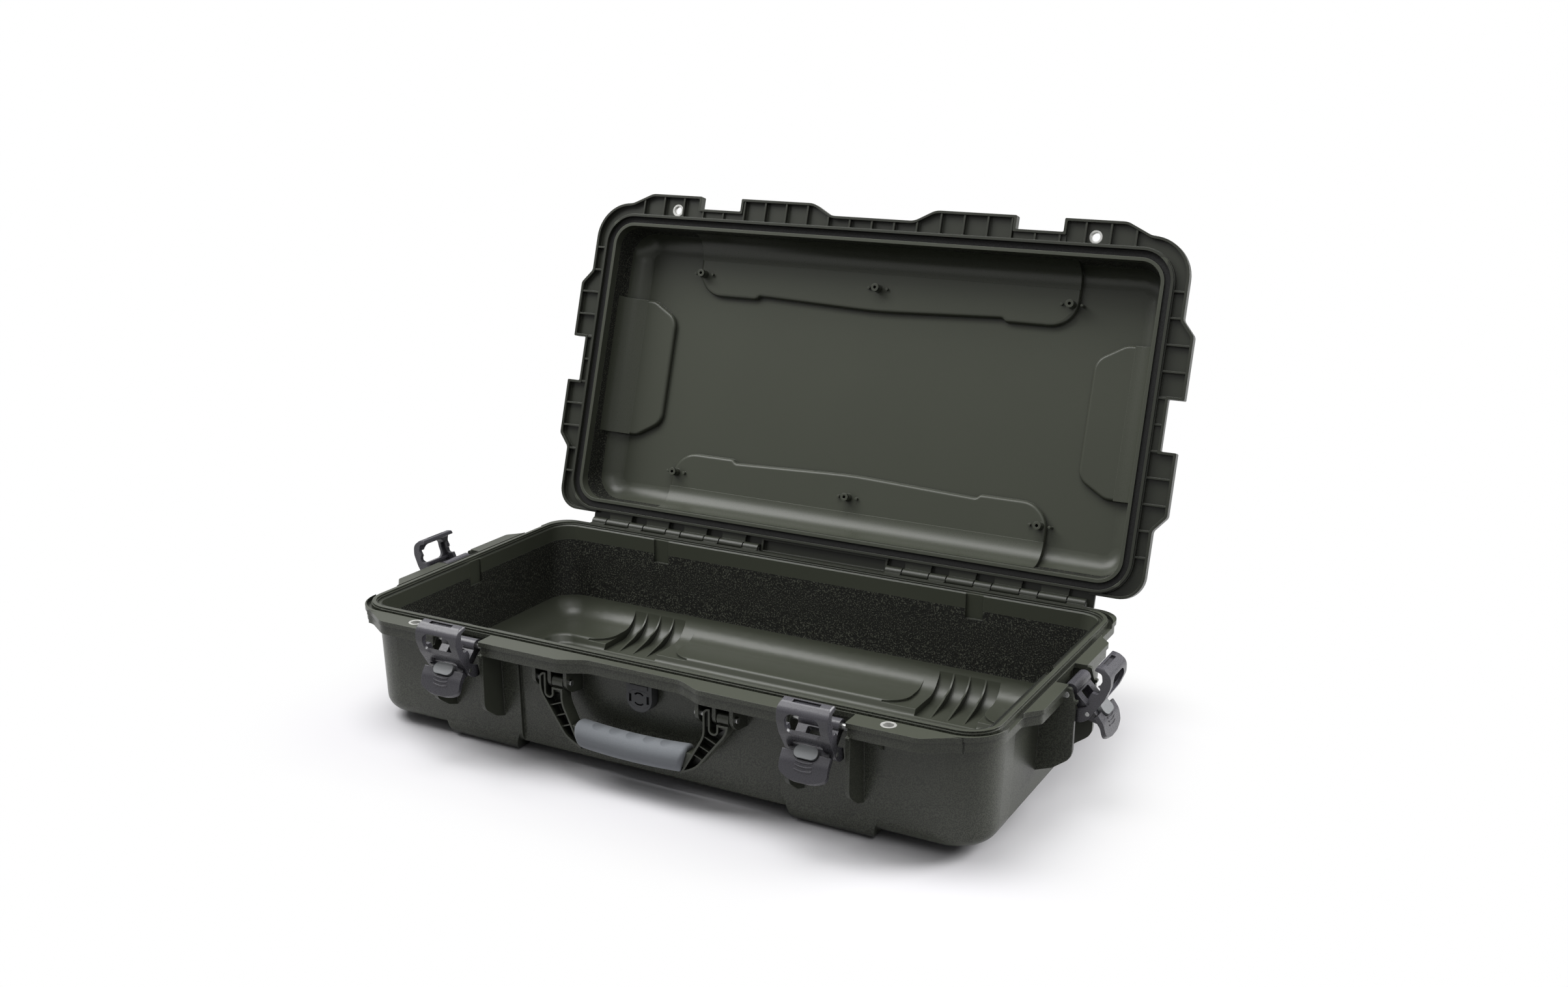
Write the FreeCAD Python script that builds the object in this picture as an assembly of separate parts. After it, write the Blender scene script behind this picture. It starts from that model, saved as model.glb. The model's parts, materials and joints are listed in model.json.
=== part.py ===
import FreeCAD, Part
import math
import os

# Hard case with a hinged lid, four draw latches, a drop handle and a pressure valve.
# Millimetres, +X along the front to the right, +Y to the back, +Z up.
# Everything is drawn round the rim plane with the lid and the latches closed. The pieces are then
# turned to their rest pose, lid and latches open, and lifted so that the case stands on z = 0.
# A reach is a distance outward from the inner edge of the rim.

Vec = FreeCAD.Vector
ORIGIN = Vec(0, 0, 0)

# Opening and height of the base
OPEN_LENGTH = 560.0
OPEN_WIDTH = 278.0
OPEN_ROUND = 19.0
RIM_HEIGHT = 105.0
HALF_L = OPEN_LENGTH / 2
HALF_W = OPEN_WIDTH / 2

# Base walls
WALL_REACH = 7.5
WALL_ROUND = 38.0
WALL_SHRINK = 4.2
PAD_BOTTOM = -96.5
HULL_EDGE_ROUND = 13.0
PANEL_RECESS = 3.0
CAVITY_SHRINK = 2.3
PAD_FLOOR = -92.0
CAVITY_EDGE_ROUND = 22.0
CAVITY_FLOOR_ROUND = 29.0

# Belly of the base; a margin is a distance inward from the inner edge of the rim
BELLY_MARGIN_X = 26.0
BELLY_MARGIN_Y = 51.0
BELLY_HALF_X = HALF_L - BELLY_MARGIN_X
BELLY_HALF_Y = HALF_W - BELLY_MARGIN_Y
BELLY_ROUND = 18.0
BELLY_SLOPE = 4.5
BELLY_FLOOR = -100.5
BELLY_SKIN = 4.5
BELLY_TOP_ROUND = 4.0
BELLY_LOW_ROUND = 5.0

# Feet, and the ribbed bays above them
FOOT_MARGIN = 117.0
FOOT_MID_X = HALF_L - FOOT_MARGIN
FOOT_HALF_X = 33.0
FOOT_INNER_MARGIN = 73.0
FOOT_SLOPE = 7.0
FOOT_TOP = -82.0
FOOT_ROUND = 5.0
FOOT_EDGE_ROUND = 13.0
FOOT_BAY_HALF = 29.0
FOOT_BAY_MARGIN = 3.0
FOOT_BAY_SCOOP = 25.0
FOOT_RIB_PITCH = 15.4
FOOT_RIB_COUNT = 3
FOOT_RIB_THICK = 1.6
FOOT_RIB_END_MARGIN = 55.0
FOOT_RIB_WAIST_MARGIN = 22.0
FOOT_RIB_WAIST = 7.0
FOOT_RIB_ROUND = 40.0
VALLEY_WIDTH = 13.0
VALLEY_FLOOR = -94.5
VALLEY_SCOOP = 24.0
PAD_CORNER_ROUND = 20.0

# Recessed panels of the walls
FRONT_PANEL_SETBACK = 42.0
FRONT_PANEL_HALF = FOOT_MID_X - FRONT_PANEL_SETBACK
SIDE_PANEL_MARGIN = 49.0
SIDE_PANEL_HALF = HALF_W - SIDE_PANEL_MARGIN

# Inner notches at the rim
NOTCH_HALF = 8.3
NOTCH_DEPTH = 1.6
NOTCH_BOTTOM = -24.0
NOTCH_MARGIN = 117.0
NOTCH_X = HALF_L - NOTCH_MARGIN

# Rim of the base: lip, tongue, groove, flange
LIP_REACH = 3.4
LIP_DROP = 1.5
TONGUE_IN = 4.4
TONGUE_OUT = 7.6
TONGUE_TOP = 1.7
GROOVE_IN = 8.4
GROOVE_OUT = 12.5
GROOVE_DEPTH = 3.5
BASE_RAIL_REACH = 15.0
BASE_RAIL_DEPTH = 8.0
FLANGE_THICK = 4.0
FLANGE_SKIRT_DEPTH = 12.0
FLANGE_SKIRT_THICK = 2.6
FLANGE_STEP = 1.4

# Outline of the base flange, as reaches
BASE_REACHES = {"dip": 20.5, "front": 31.0, "bay": 13.0, "corner": 16.0, "side": 12.5, "wing": 23.5,
                "back": 14.0}
BASE_CORNER_ROUND = 34.0

# Outline of the lid skirt, as reaches
LID_REACHES = {"dip": 22.5, "front": 33.4, "bay": 21.0, "corner": 22.5, "side": 24.0, "wing": 35.0,
               "back": 14.0}
LID_CORNER_ROUND = 36.0

# Turns shared by both outlines
LATCH_MARGIN = 115.5
LATCH_X = HALF_L - LATCH_MARGIN
DIP_HALF = 43.0
DIP_RAMP = 20.0
DIP_ROUND = 18.0
BAY_HALF = 22.5
BAY_ROUND = 1.2
TAB_END_OFFSET = 79.5
TAB_END_X = LATCH_X + TAB_END_OFFSET
TAB_RAMP = 23.0
TAB_ROUND = 15.0
WING_HALF = 78.0
WING_RAMP = 13.0
WING_ROUND = 6.0
BACK_CORNER_ROUND = 22.0

# Lid
LID_GAP = 0.3
LID_TOP = 49.0
LID_SHRINK = 3.0
LID_TOP_ROUND = 9.0
LID_FLOOR = 44.0
LID_CAVITY_SHRINK = 1.5
LID_FLOOR_ROUND = 20.0
LID_FLOOR_CORNER = 30.0
LID_PANEL_FLOOR = 38.0
LID_PANEL_SKIN = 4.6
LID_PANEL_WALL = 4.5
LID_PANEL_EDGE = 3.2
LONG_PANEL_MARGIN_X = 81.0
LONG_PANEL_MARGIN_Y = 59.0
LONG_PANEL_HALF = HALF_L - LONG_PANEL_MARGIN_X
LONG_PANEL_Y = HALF_W - LONG_PANEL_MARGIN_Y
LONG_PANEL_ROUND = 26.0
LONG_PANEL_STEP_SETBACK = 71.0
LONG_PANEL_STEP_X = LONG_PANEL_HALF - LONG_PANEL_STEP_SETBACK
LONG_PANEL_STEP = 3.5
LONG_PANEL_BOW = 5.0
LONG_PANEL_STEP_ROUND = 5.0
LONG_PANEL_BOW_ROUND = 500.0
SIDE_PANEL_NOSE_MARGIN = 59.5
SIDE_PANEL_TURN_MARGIN = 32.0
SIDE_PANEL_END_MARGIN = 69.0
SIDE_PANEL_NOSE_SETBACK = 16.0
SIDE_PANEL_X = HALF_L - SIDE_PANEL_NOSE_MARGIN
SIDE_PANEL_TURN_X = HALF_L - SIDE_PANEL_TURN_MARGIN
SIDE_PANEL_TURN_Y = HALF_W - SIDE_PANEL_END_MARGIN
SIDE_PANEL_NOSE_Y = SIDE_PANEL_TURN_Y - SIDE_PANEL_NOSE_SETBACK
SIDE_PANEL_ROUND = 17.0
BOSS_MARGIN_X = 87.0
BOSS_MARGIN_Y = 38.0
BOSS_X = HALF_L - BOSS_MARGIN_X
BOSS_Y = HALF_W - BOSS_MARGIN_Y
BOSS_TIP = 28.0
BOSS_RADIUS = 3.8
BOSS_HOLE_RADIUS = 1.5
BOSS_HOLE_DEPTH = 9.0
PIP_OFFSET = 9.5
PIP_RADIUS = 1.3
PIP_TIP = 34.8
LID_RAIL_REACH = 12.5
LID_RAIL_TOP = 11.0
CHANNEL_IN = 3.2
CHANNEL_OUT = 9.2
CHANNEL_TOP = 6.5
RIDGE_OUT = 11.7
RIDGE_DROP = 2.2
TRAY_BOTTOM = 5.2
TRAY_TOP = 8.0
SKIRT_THICK = 2.4
KEEPER_BOTTOM = 3.4
KEEPER_TOP = 6.3
RIB_THICK = 1.8
RIB_PITCH = 23.0
RIB_FOOT = 0.9
GASKET_BOTTOM = 2.0
GASKET_SIDE_GAP = 0.1

# Hinge
HINGE_REACH = 23.0
HINGE_Y = HALF_W + HINGE_REACH
HINGE_DROP = 0.9
HINGE_START_X = 67.0
HINGE_END_MARGIN = 22.0
BASE_KNUCKLE = 16.0
LID_KNUCKLE = 25.5
KNUCKLE_GAP = 1.0
KNUCKLE_RADIUS = 4.8
KNUCKLE_ARM_REACH = 8.0
KNUCKLE_PITCH = BASE_KNUCKLE + LID_KNUCKLE + 2 * KNUCKLE_GAP
BASE_KNUCKLE_COUNT = 1 + int((HALF_L - HINGE_END_MARGIN - HINGE_START_X - BASE_KNUCKLE) // KNUCKLE_PITCH)
HINGE_PLATE_OVER_X = 5.0
HINGE_PLATE_OVER_Y = 2.5
HINGE_APRON_THICK = 2.0
HINGE_APRON_END_GAP = 1.0
HINGE_PIN_RADIUS = 1.8
LID_OPEN_ANGLE = 106.84
LID_CUT_DEPTH = 4.5

# Fits
PIN_FIT = 0.05
SEAT_FIT = 0.05

# Latches: u is outward, w is up, both from the inner edge of the rim
PIVOT_U = 23.0
PIVOT_W = -7.0
LINK_LENGTH = 21.6
LEVER_SWING = 45.0
CLAW_SWING = 14.8
PIVOT_PIN_RADIUS = 2.5
CLAW_PIN_RADIUS = 1.75
CLAW_HALF = 20.5
CLAW_CHEEK_IN = 17.0
CLAW_CORNER = 4.0
CLAW_TOP = 12.0
LEVER_HALF = 16.4
BARREL_RADIUS = 5.5
TAB_HALF = 19.5
TAB_CORNER = 5.0
TAB_TIP_W = -54.5
TAB_SIDE_W = -49.5
TAB_TIP_ROUND = 40.0
CLAW_OUTLINE = (
    (17.4, 7.3, 0.6), (17.7, 10.6, 1.2), (23.0, 11.4, 6.0), (30.6, 7.4, 8.0), (33.0, -1.0, 12.0),
    (31.6, -12.5, 20.0), (25.0, -32.4, 10.0), (20.8, -37.0, 6.0), (13.6, -39.0, 1.5), (13.4, -29.2, 1.5),
    (19.4, -25.0, 2.5), (21.7, -22.2, 1.2), (21.7, -19.0, 2.0), (20.0, -15.4, 2.0), (20.9, -10.2, 0.8),
    (26.2, -10.2, 2.6), (26.2, -3.8, 2.6), (24.4, -3.8, 0.8), (25.7, 1.5, 3.0), (23.4, 6.9, 3.0))
CLAW_HOLLOW = (
    (5.0, 1.5, 0.0), (29.4, 1.5, 2.0), (30.0, -4.0, 8.0), (28.8, -13.0, 14.0), (26.0, -25.4, 0.0),
    (40.0, -25.4, 0.0), (40.0, -45.0, 0.0), (5.0, -45.0, 0.0))
CLAW_FAR_U = 40.0
CLAW_WINDOW = (14.0, -11.8, 5.5, 6.0)
CLAW_SILL_U = 26.6
CLAW_SILL_THICK = 2.4
CLAW_NOTCH = (12.5, -32.0, -18.4, 3.0)
CLAW_GROOVE = (11.0, 19.8, 23.4, 9.2)
LINK_OUTLINE = (
    (18.6, -7.0, 0.0), (25.4, -7.0, 0.0), (25.4, -27.4, 0.5), (26.5, -28.4, 0.5), (26.5, -37.0, 0.0),
    (25.0, -42.5, 0.0), (21.6, -38.0, 2.0), (18.6, -33.0, 3.0))
TAB_OUTLINE = (
    (29.0, -33.8, 0.8), (27.8, -42.0, 12.0), (20.4, -54.5, 1.4), (17.2, -53.4, 1.4), (23.2, -43.0, 10.0),
    (24.8, -33.8, 0.0))
LINK_HOLE = (8.0, -21.0, -13.0, 1.5)
TAB_RIDGE_W = (-42.4, -45.2, -48.0)
TAB_RIDGE_BEND = 26.0
TAB_RIDGE_HALF = 7.0
TAB_RIDGE_WIDTH = 0.9
TAB_RIDGE_RAISE = 0.5
TAB_SHELL_THICK = 3.5
SLIDER_GROOVE_HALF = 5.2
SLIDER_GROOVE_U = 25.5
SLIDER_GROOVE_LOW = -39.2
SLIDER_GROOVE_HIGH = -27.0
SLIDER_TONGUE_HALF = 5.0
SLIDER_TONGUE_U = 25.6
SLIDER_TONGUE_LOW = -38.8
SLIDER_TONGUE_HIGH = -31.4
SLIDER_SEAT_U = 26.6
SLIDER_FRONT_U = 30.4
SLIDER_HALF = 9.4
SLIDER_LOW = -39.4
SLIDER_HIGH = -29.4
SLIDER_ROUND = 4.6
SLIDER_GAP = 0.5

# Latch guards on the base
GUARD_IN = 23.0
GUARD_THICK = 3.5
GUARD_OUTLINE = (
    (0.8, -1.5, 0.0), (26.5, -1.5, 2.0), (29.2, -11.0, 0.6), (31.8, -11.0, 0.6), (31.8, -13.4, 0.6),
    (30.4, -13.4, 0.6), (30.0, -58.0, 12.0), (15.0, -69.0, 8.0), (0.8, -74.0, 0.0))

# Handle brackets and handle; the pivot is given by its reach and its height under the rim
HANDLE_PIVOT_REACH = 21.0
HANDLE_PIVOT_W = -22.0
HANDLE_MID_X = 75.5
BRACKET_PITCH = 15.0
BRACKET_THICK = 3.2
BRACKET_OUTLINE = (
    (0.8, -2.0, 0.0), (26.0, -2.0, 0.0), (26.0, -25.0, 8.0), (19.0, -31.0, 6.0), (0.8, -33.5, 0.0))
HANDLE_PIN_RADIUS = 2.5
HANDLE_PIN_OVERHANG = 2.0
HANDLE_DEPTH_HALF = 6.0
HANDLE_LUG_TOP = -12.0
LUG_TOP_W = -15.2
LUG_OFFSET = 1.9
LUG_HALF = 11.0
LUG_ROUND = 5.0
FORK_HALF = 2.9
FORK_LOW = -34.4
FORK_WALL = 1.5
BARREL_LUG_CUT = -26.5
BARREL_LUG_RADIUS = 5.6
ARM_TURN_W = -31.6
ARM_TURN_ROUND = 20.0
ARM_ELBOW_SETBACK = 15.0
ARM_ELBOW_W = -66.6
ARM_ELBOW_ROUND = 22.0
ARM_TIP_SETBACK = 30.0
ARM_TIP_W = -73.8
ARM_INNER_W = -38.0
ARM_INNER_ROUND = 20.0
ARM_RIM = 1.6
ARM_POCKET_DEPTH = 9.0
LEG_POCKET_W = -31.0
LEG_POCKET_DEPTH = 3.2
ARM_RIB_THICK = 1.0
ARM_RIB_DROP = 1.5
ARM_RIB_TILT = 22.0
ARM_RIB_START_W = -41.0
ARM_RIB_PITCH = 8.5
ARM_RIB_COUNT = 3
GRIP_TOP_SETBACK = 23.0
GRIP_LOW_SETBACK = 29.5
GRIP_TOP_HALF = HANDLE_MID_X - GRIP_TOP_SETBACK
GRIP_LOW_HALF = HANDLE_MID_X - GRIP_LOW_SETBACK
GRIP_TOP_W = -51.0
GRIP_LOW_W = -72.6
GRIP_BOW = 2.6
GRIP_DEPTH_HALF = 11.0
GRIP_ROUND = 10.0
GRIP_END_ROUND = 3.0
GRIP_SCALLOP_PITCH = 15.5
GRIP_SCALLOP_COUNT = 5
GRIP_SCALLOP_RADIUS = 9.0
GRIP_SCALLOP_DEPTH = 1.6
CORE_SETBACK = 17.5
CORE_HALF_X = HANDLE_MID_X - CORE_SETBACK
CORE_LOW_W = -68.0
CORE_HIGH_W = -55.5
CORE_DEPTH_HALF = 5.2

# Padlock eyelets
EYELET_OFFSET = 51.1
EYELET_X = LATCH_X + EYELET_OFFSET
EYELET_REACH = 19.0
EYELET_RADIUS = 6.0
EYELET_BORE = 4.0
EYELET_COLLAR_RADIUS = 7.5
EYELET_COLLAR = 1.2

# Gussets under the flange
GUSSET_OFFSET = 41.5
GUSSET_X = LATCH_X + GUSSET_OFFSET
GUSSET_THICK = 2.4
GUSSET_OUTLINE = (
    (0.8, -2.0, 0.0), (22.0, -2.0, 0.0), (22.0, -10.0, 2.0), (9.0, -25.0, 4.0), (0.8, -29.0, 0.0))

# Pressure valve
VALVE_HALF = 11.8
VALVE_TOP_W = -12.9
VALVE_LOW_W = -38.0
VALVE_TOP_ROUND = 2.0
VALVE_SEAT_REACH = 2.6
VALVE_FRONT_REACH = 12.4
VALVE_POCKET_GAP = 0.3
VALVE_MID_W = -27.0
VALVE_STEM_RADIUS = 6.0
VALVE_STEM_END_REACH = -8.5
VALVE_PAD_REACH = -1.6
VALVE_PAD_RADIUS = 13.5
VALVE_SEAL_RADIUS = 11.0
VALVE_SEAL_THICK = 1.2
VALVE_NUT_RADIUS = 11.5
VALVE_NUT_SIDES = 6
VALVE_NUT_THICK = 4.5
VALVE_CAP_HALF = 10.2
VALVE_CAP_HALF_HIGH = 7.0
VALVE_CAP_ROUND = 6.8
VALVE_CAP_THICK = 2.4
VALVE_ARC_OUT = 5.6
VALVE_ARC_IN = 4.3
VALVE_ARC_SPAN = 100.0
VALVE_BAR_OUT = 9.2
VALVE_BAR_IN = 7.0
VALVE_BAR_HALF_HIGH = 3.3
VALVE_PANEL_HALF = 8.2
VALVE_PANEL_LOW_W = -19.0
VALVE_PANEL_HIGH_W = -15.4
VALVE_PANEL_RAISE = 0.7

LATCHES = (
    ("front_left", -LATCH_X, -HALF_W, -90.0),
    ("front_right", LATCH_X, -HALF_W, -90.0),
    ("left_side", -HALF_L, 0, 180.0),
    ("right_side", HALF_L, 0, 0))


def rounded_wire(corners, level):
    """Closed wire at one level through (x, y, radius) corners, each rounded by a tangent arc."""
    count = len(corners)
    turns = []
    for i in range(count):
        before = Vec(corners[i - 1][0], corners[i - 1][1], level)
        here = Vec(corners[i][0], corners[i][1], level)
        after = Vec(corners[(i + 1) % count][0], corners[(i + 1) % count][1], level)
        radius = corners[i][2]
        into = (here - before).normalize()
        out = (after - here).normalize()
        turn = into.getAngle(out)
        if radius <= 0 or turn < math.radians(0.5):
            turns.append((here, None, here))
            continue
        back = radius * math.tan(turn / 2)
        inward = (out - into).normalize()
        middle = here + inward * (radius / math.cos(turn / 2) - radius)
        turns.append((here - into * back, middle, here + out * back))
    edges = []
    for i in range(count):
        start, middle, end = turns[i]
        if middle is not None:
            edges.append(Part.Arc(start, middle, end).toShape())
        following = turns[(i + 1) % count][0]
        if (following - end).Length > SEAT_FIT / 10:
            edges.append(Part.makeLine(end, following))
    return Part.Wire(edges)


def plate(corners, low, high):
    """Upright prism over a rounded outline."""
    return Part.Face(rounded_wire(corners, low)).extrude(Vec(0, 0, high - low))


def tapered(low_corners, low, high_corners, high):
    """Straight loft between two outlines with the same number of corners."""
    return Part.makeLoft([rounded_wire(low_corners, low), rounded_wire(high_corners, high)], True, True)


def rect(half_x, half_y, radius, mid_x=0, mid_y=0):
    return [(mid_x + sx * half_x, mid_y + sy * half_y, radius)
            for sx, sy in ((-1, -1), (1, -1), (1, 1), (-1, 1))]


def rim_rect(reach):
    return rect(HALF_L + reach, HALF_W + reach, OPEN_ROUND + reach)


def ring(inner, outer, low, high):
    """Band that runs round the rim between two reaches."""
    return plate(rim_rect(outer), low, high).cut(plate(rim_rect(inner), low, high))


def block(x0, x1, y0, y1, z0, z1):
    return Part.makeBox(x1 - x0, y1 - y0, z1 - z0, Vec(x0, y0, z0))


def along_x(corners, x0, x1):
    """Prism along X over an outline given as (y, z, radius)."""
    shape = plate(corners, x0, x1)
    shape.rotate(ORIGIN, Vec(1, 1, 1), 120)
    return shape


def along_y(corners, y0, y1):
    """Prism along Y over an outline given as (x, z, radius)."""
    shape = plate(corners, -y1, -y0)
    shape.rotate(ORIGIN, Vec(1, 0, 0), 90)
    return shape


def opening(half, low, high, radius):
    """Corners of a rectangle, the half width about the middle and two heights."""
    return [(-half, low, radius), (half, low, radius), (half, high, radius), (-half, high, radius)]


def rod(start, axis, radius, length):
    return Part.makeCylinder(radius, length, start, axis)


def joined(solids):
    return solids[0].fuse(solids[1:]).removeSplitter()


def edges_at(shape, level):
    """Edges of a shape that lie in one level plane."""
    near = SEAT_FIT / 5
    return [edge for edge in shape.Edges
            if abs(edge.BoundBox.ZMin - level) < near and abs(edge.BoundBox.ZMax - level) < near]


def placed(shape, x, y, turn):
    moved = shape.copy()
    moved.rotate(ORIGIN, Vec(0, 0, 1), turn)
    moved.translate(Vec(x, y, 0))
    return moved


def front_placed(shape, x):
    """Puts a shape drawn in u, v, w on the front wall at one x."""
    return placed(shape, x, -HALF_W, -90.0)


def rim_outline(reaches, corner_round, inset):
    """Outline with a bay at each latch, a dip in front of the handle, tabs and side wings."""
    front = HALF_W + reaches["front"] - inset
    dip = HALF_W + reaches["dip"] - inset
    front_bay = HALF_W + reaches["bay"] - inset
    corner = HALF_W + reaches["corner"] - inset
    back = HALF_W + reaches["back"] - inset
    side = HALF_L + reaches["side"] - inset
    wing = HALF_L + reaches["wing"] - inset
    side_bay = HALF_L + reaches["bay"] - inset
    bay = BAY_HALF + inset
    wing_end = WING_HALF - inset / 2
    half = [
        (DIP_HALF, -dip, DIP_ROUND), (DIP_HALF + DIP_RAMP, -front, DIP_ROUND),
        (LATCH_X - bay, -front, BAY_ROUND), (LATCH_X - bay, -front_bay, BAY_ROUND),
        (LATCH_X + bay, -front_bay, BAY_ROUND), (LATCH_X + bay, -front, BAY_ROUND),
        (TAB_END_X, -front, TAB_ROUND), (TAB_END_X + TAB_RAMP, -corner, TAB_ROUND),
        (side, -corner, corner_round - inset),
        (side, -wing_end - WING_RAMP, WING_ROUND), (wing, -wing_end, WING_ROUND),
        (wing, -bay, BAY_ROUND), (side_bay, -bay, BAY_ROUND),
        (side_bay, bay, BAY_ROUND), (wing, bay, BAY_ROUND),
        (wing, wing_end, WING_ROUND), (side, wing_end + WING_RAMP, WING_ROUND),
        (side, back, BACK_CORNER_ROUND - inset)]
    return half + [(-x, y, radius) for x, y, radius in reversed(half)]


def knuckle_spans(sign):
    """Start and end of each hinge knuckle of one group, base and lid in turn from the inside."""
    spans = []
    x = HINGE_START_X
    for i in range(2 * BASE_KNUCKLE_COUNT - 1):
        on_base = i % 2 == 0
        length = BASE_KNUCKLE if on_base else LID_KNUCKLE
        spans.append((on_base, sign * x if sign > 0 else -x - length, length))
        x += length + KNUCKLE_GAP
    return spans


def hinge_group_end():
    count = BASE_KNUCKLE_COUNT
    return HINGE_START_X + count * BASE_KNUCKLE + (count - 1) * (LID_KNUCKLE + 2 * KNUCKLE_GAP)


def knuckles(for_base):
    """Knuckles with their arms, and the bores through them, for one of the two shells."""
    solids = []
    bores = []
    for sign in (-1, 1):
        for on_base, start, length in knuckle_spans(sign):
            if on_base != for_base:
                continue
            solids.append(rod(Vec(start, HINGE_Y, -HINGE_DROP), Vec(1, 0, 0), KNUCKLE_RADIUS, length))
            if for_base:
                low, high = -HINGE_DROP - KNUCKLE_RADIUS, -LID_GAP
            else:
                low, high = LID_GAP, TRAY_TOP - LID_GAP
            solids.append(block(start, start + length, HALF_W + KNUCKLE_ARM_REACH, HINGE_Y, low, high))
            bores.append(rod(Vec(start - KNUCKLE_GAP / 2, HINGE_Y, -HINGE_DROP), Vec(1, 0, 0),
                             HINGE_PIN_RADIUS + PIN_FIT, length + KNUCKLE_GAP))
    return solids, bores


def drafted_walls(recess, bottom):
    """Solid inside the outer faces of the walls, set in by a recess, from the rim down to one level."""
    reach = WALL_REACH - recess
    shrink = WALL_SHRINK * bottom / PAD_BOTTOM
    rim = rect(HALF_L + reach, HALF_W + reach, WALL_ROUND - recess)
    low = rect(HALF_L + reach - shrink, HALF_W + reach - shrink, WALL_ROUND - recess - shrink)
    return tapered(low, bottom, rim, 0)


def base_feet():
    """Four feet, flush with the long walls, with sloping ends."""
    body = drafted_walls(0, -RIM_HEIGHT)
    body = body.makeFillet(FOOT_EDGE_ROUND, edges_at(body, -RIM_HEIGHT))
    near = HALF_W - FOOT_INNER_MARGIN
    far = HALF_W + WALL_REACH
    feet = []
    for sx in (-1, 1):
        mid = sx * FOOT_MID_X
        top = FOOT_HALF_X + FOOT_SLOPE
        end = [(mid - FOOT_HALF_X, -RIM_HEIGHT, FOOT_ROUND), (mid + FOOT_HALF_X, -RIM_HEIGHT, FOOT_ROUND),
               (mid + top, FOOT_TOP, 0), (mid - top, FOOT_TOP, 0)]
        feet += [body.common(along_y(end, near, far)), body.common(along_y(end, -far, -near))]
    return feet


def base_hull():
    """Outer body of the base: drafted walls with recessed panels, belly and feet."""
    hull = drafted_walls(0, PAD_BOTTOM)
    hull = hull.makeFillet(HULL_EDGE_ROUND, edges_at(hull, PAD_BOTTOM))
    core = drafted_walls(PANEL_RECESS, PAD_BOTTOM)
    far = HALF_L + OPEN_WIDTH
    panels = [block(-FRONT_PANEL_HALF, FRONT_PANEL_HALF, -far, far, PAD_BOTTOM, 0),
              block(-far, far, -SIDE_PANEL_HALF, SIDE_PANEL_HALF, PAD_BOTTOM, 0)]
    for panel in panels:
        hull = hull.cut(panel.cut(core))
    belly = tapered(rect(BELLY_HALF_X - BELLY_SLOPE, BELLY_HALF_Y - BELLY_SLOPE, BELLY_ROUND), -RIM_HEIGHT,
                    rect(BELLY_HALF_X, BELLY_HALF_Y, BELLY_ROUND + BELLY_SLOPE), PAD_FLOOR)
    return joined([hull, belly] + base_feet())


def belly_room():
    """Main room of the base with the sunken belly in its floor, both edges of the step rounded."""
    low = rect(HALF_L - CAVITY_SHRINK, HALF_W - CAVITY_SHRINK, CAVITY_FLOOR_ROUND)
    room = tapered(low, PAD_FLOOR, rim_rect(0), 0)
    room = room.makeFillet(CAVITY_EDGE_ROUND, edges_at(room, PAD_FLOOR))
    inner_x = BELLY_HALF_X - BELLY_SKIN
    inner_y = BELLY_HALF_Y - BELLY_SKIN
    belly = tapered(rect(inner_x - BELLY_SLOPE, inner_y - BELLY_SLOPE, BELLY_ROUND), BELLY_FLOOR,
                    rect(inner_x, inner_y, BELLY_ROUND), PAD_FLOOR)
    belly = belly.makeFillet(BELLY_LOW_ROUND, edges_at(belly, BELLY_FLOOR))
    room = room.fuse(belly).removeSplitter()
    step = [edge for edge in edges_at(room, PAD_FLOOR)
            if edge.BoundBox.XMax < BELLY_HALF_X and edge.BoundBox.XMin > -BELLY_HALF_X
            and edge.BoundBox.YMax < BELLY_HALF_Y and edge.BoundBox.YMin > -BELLY_HALF_Y]
    return room.makeFillet(BELLY_TOP_ROUND, step)


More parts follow.
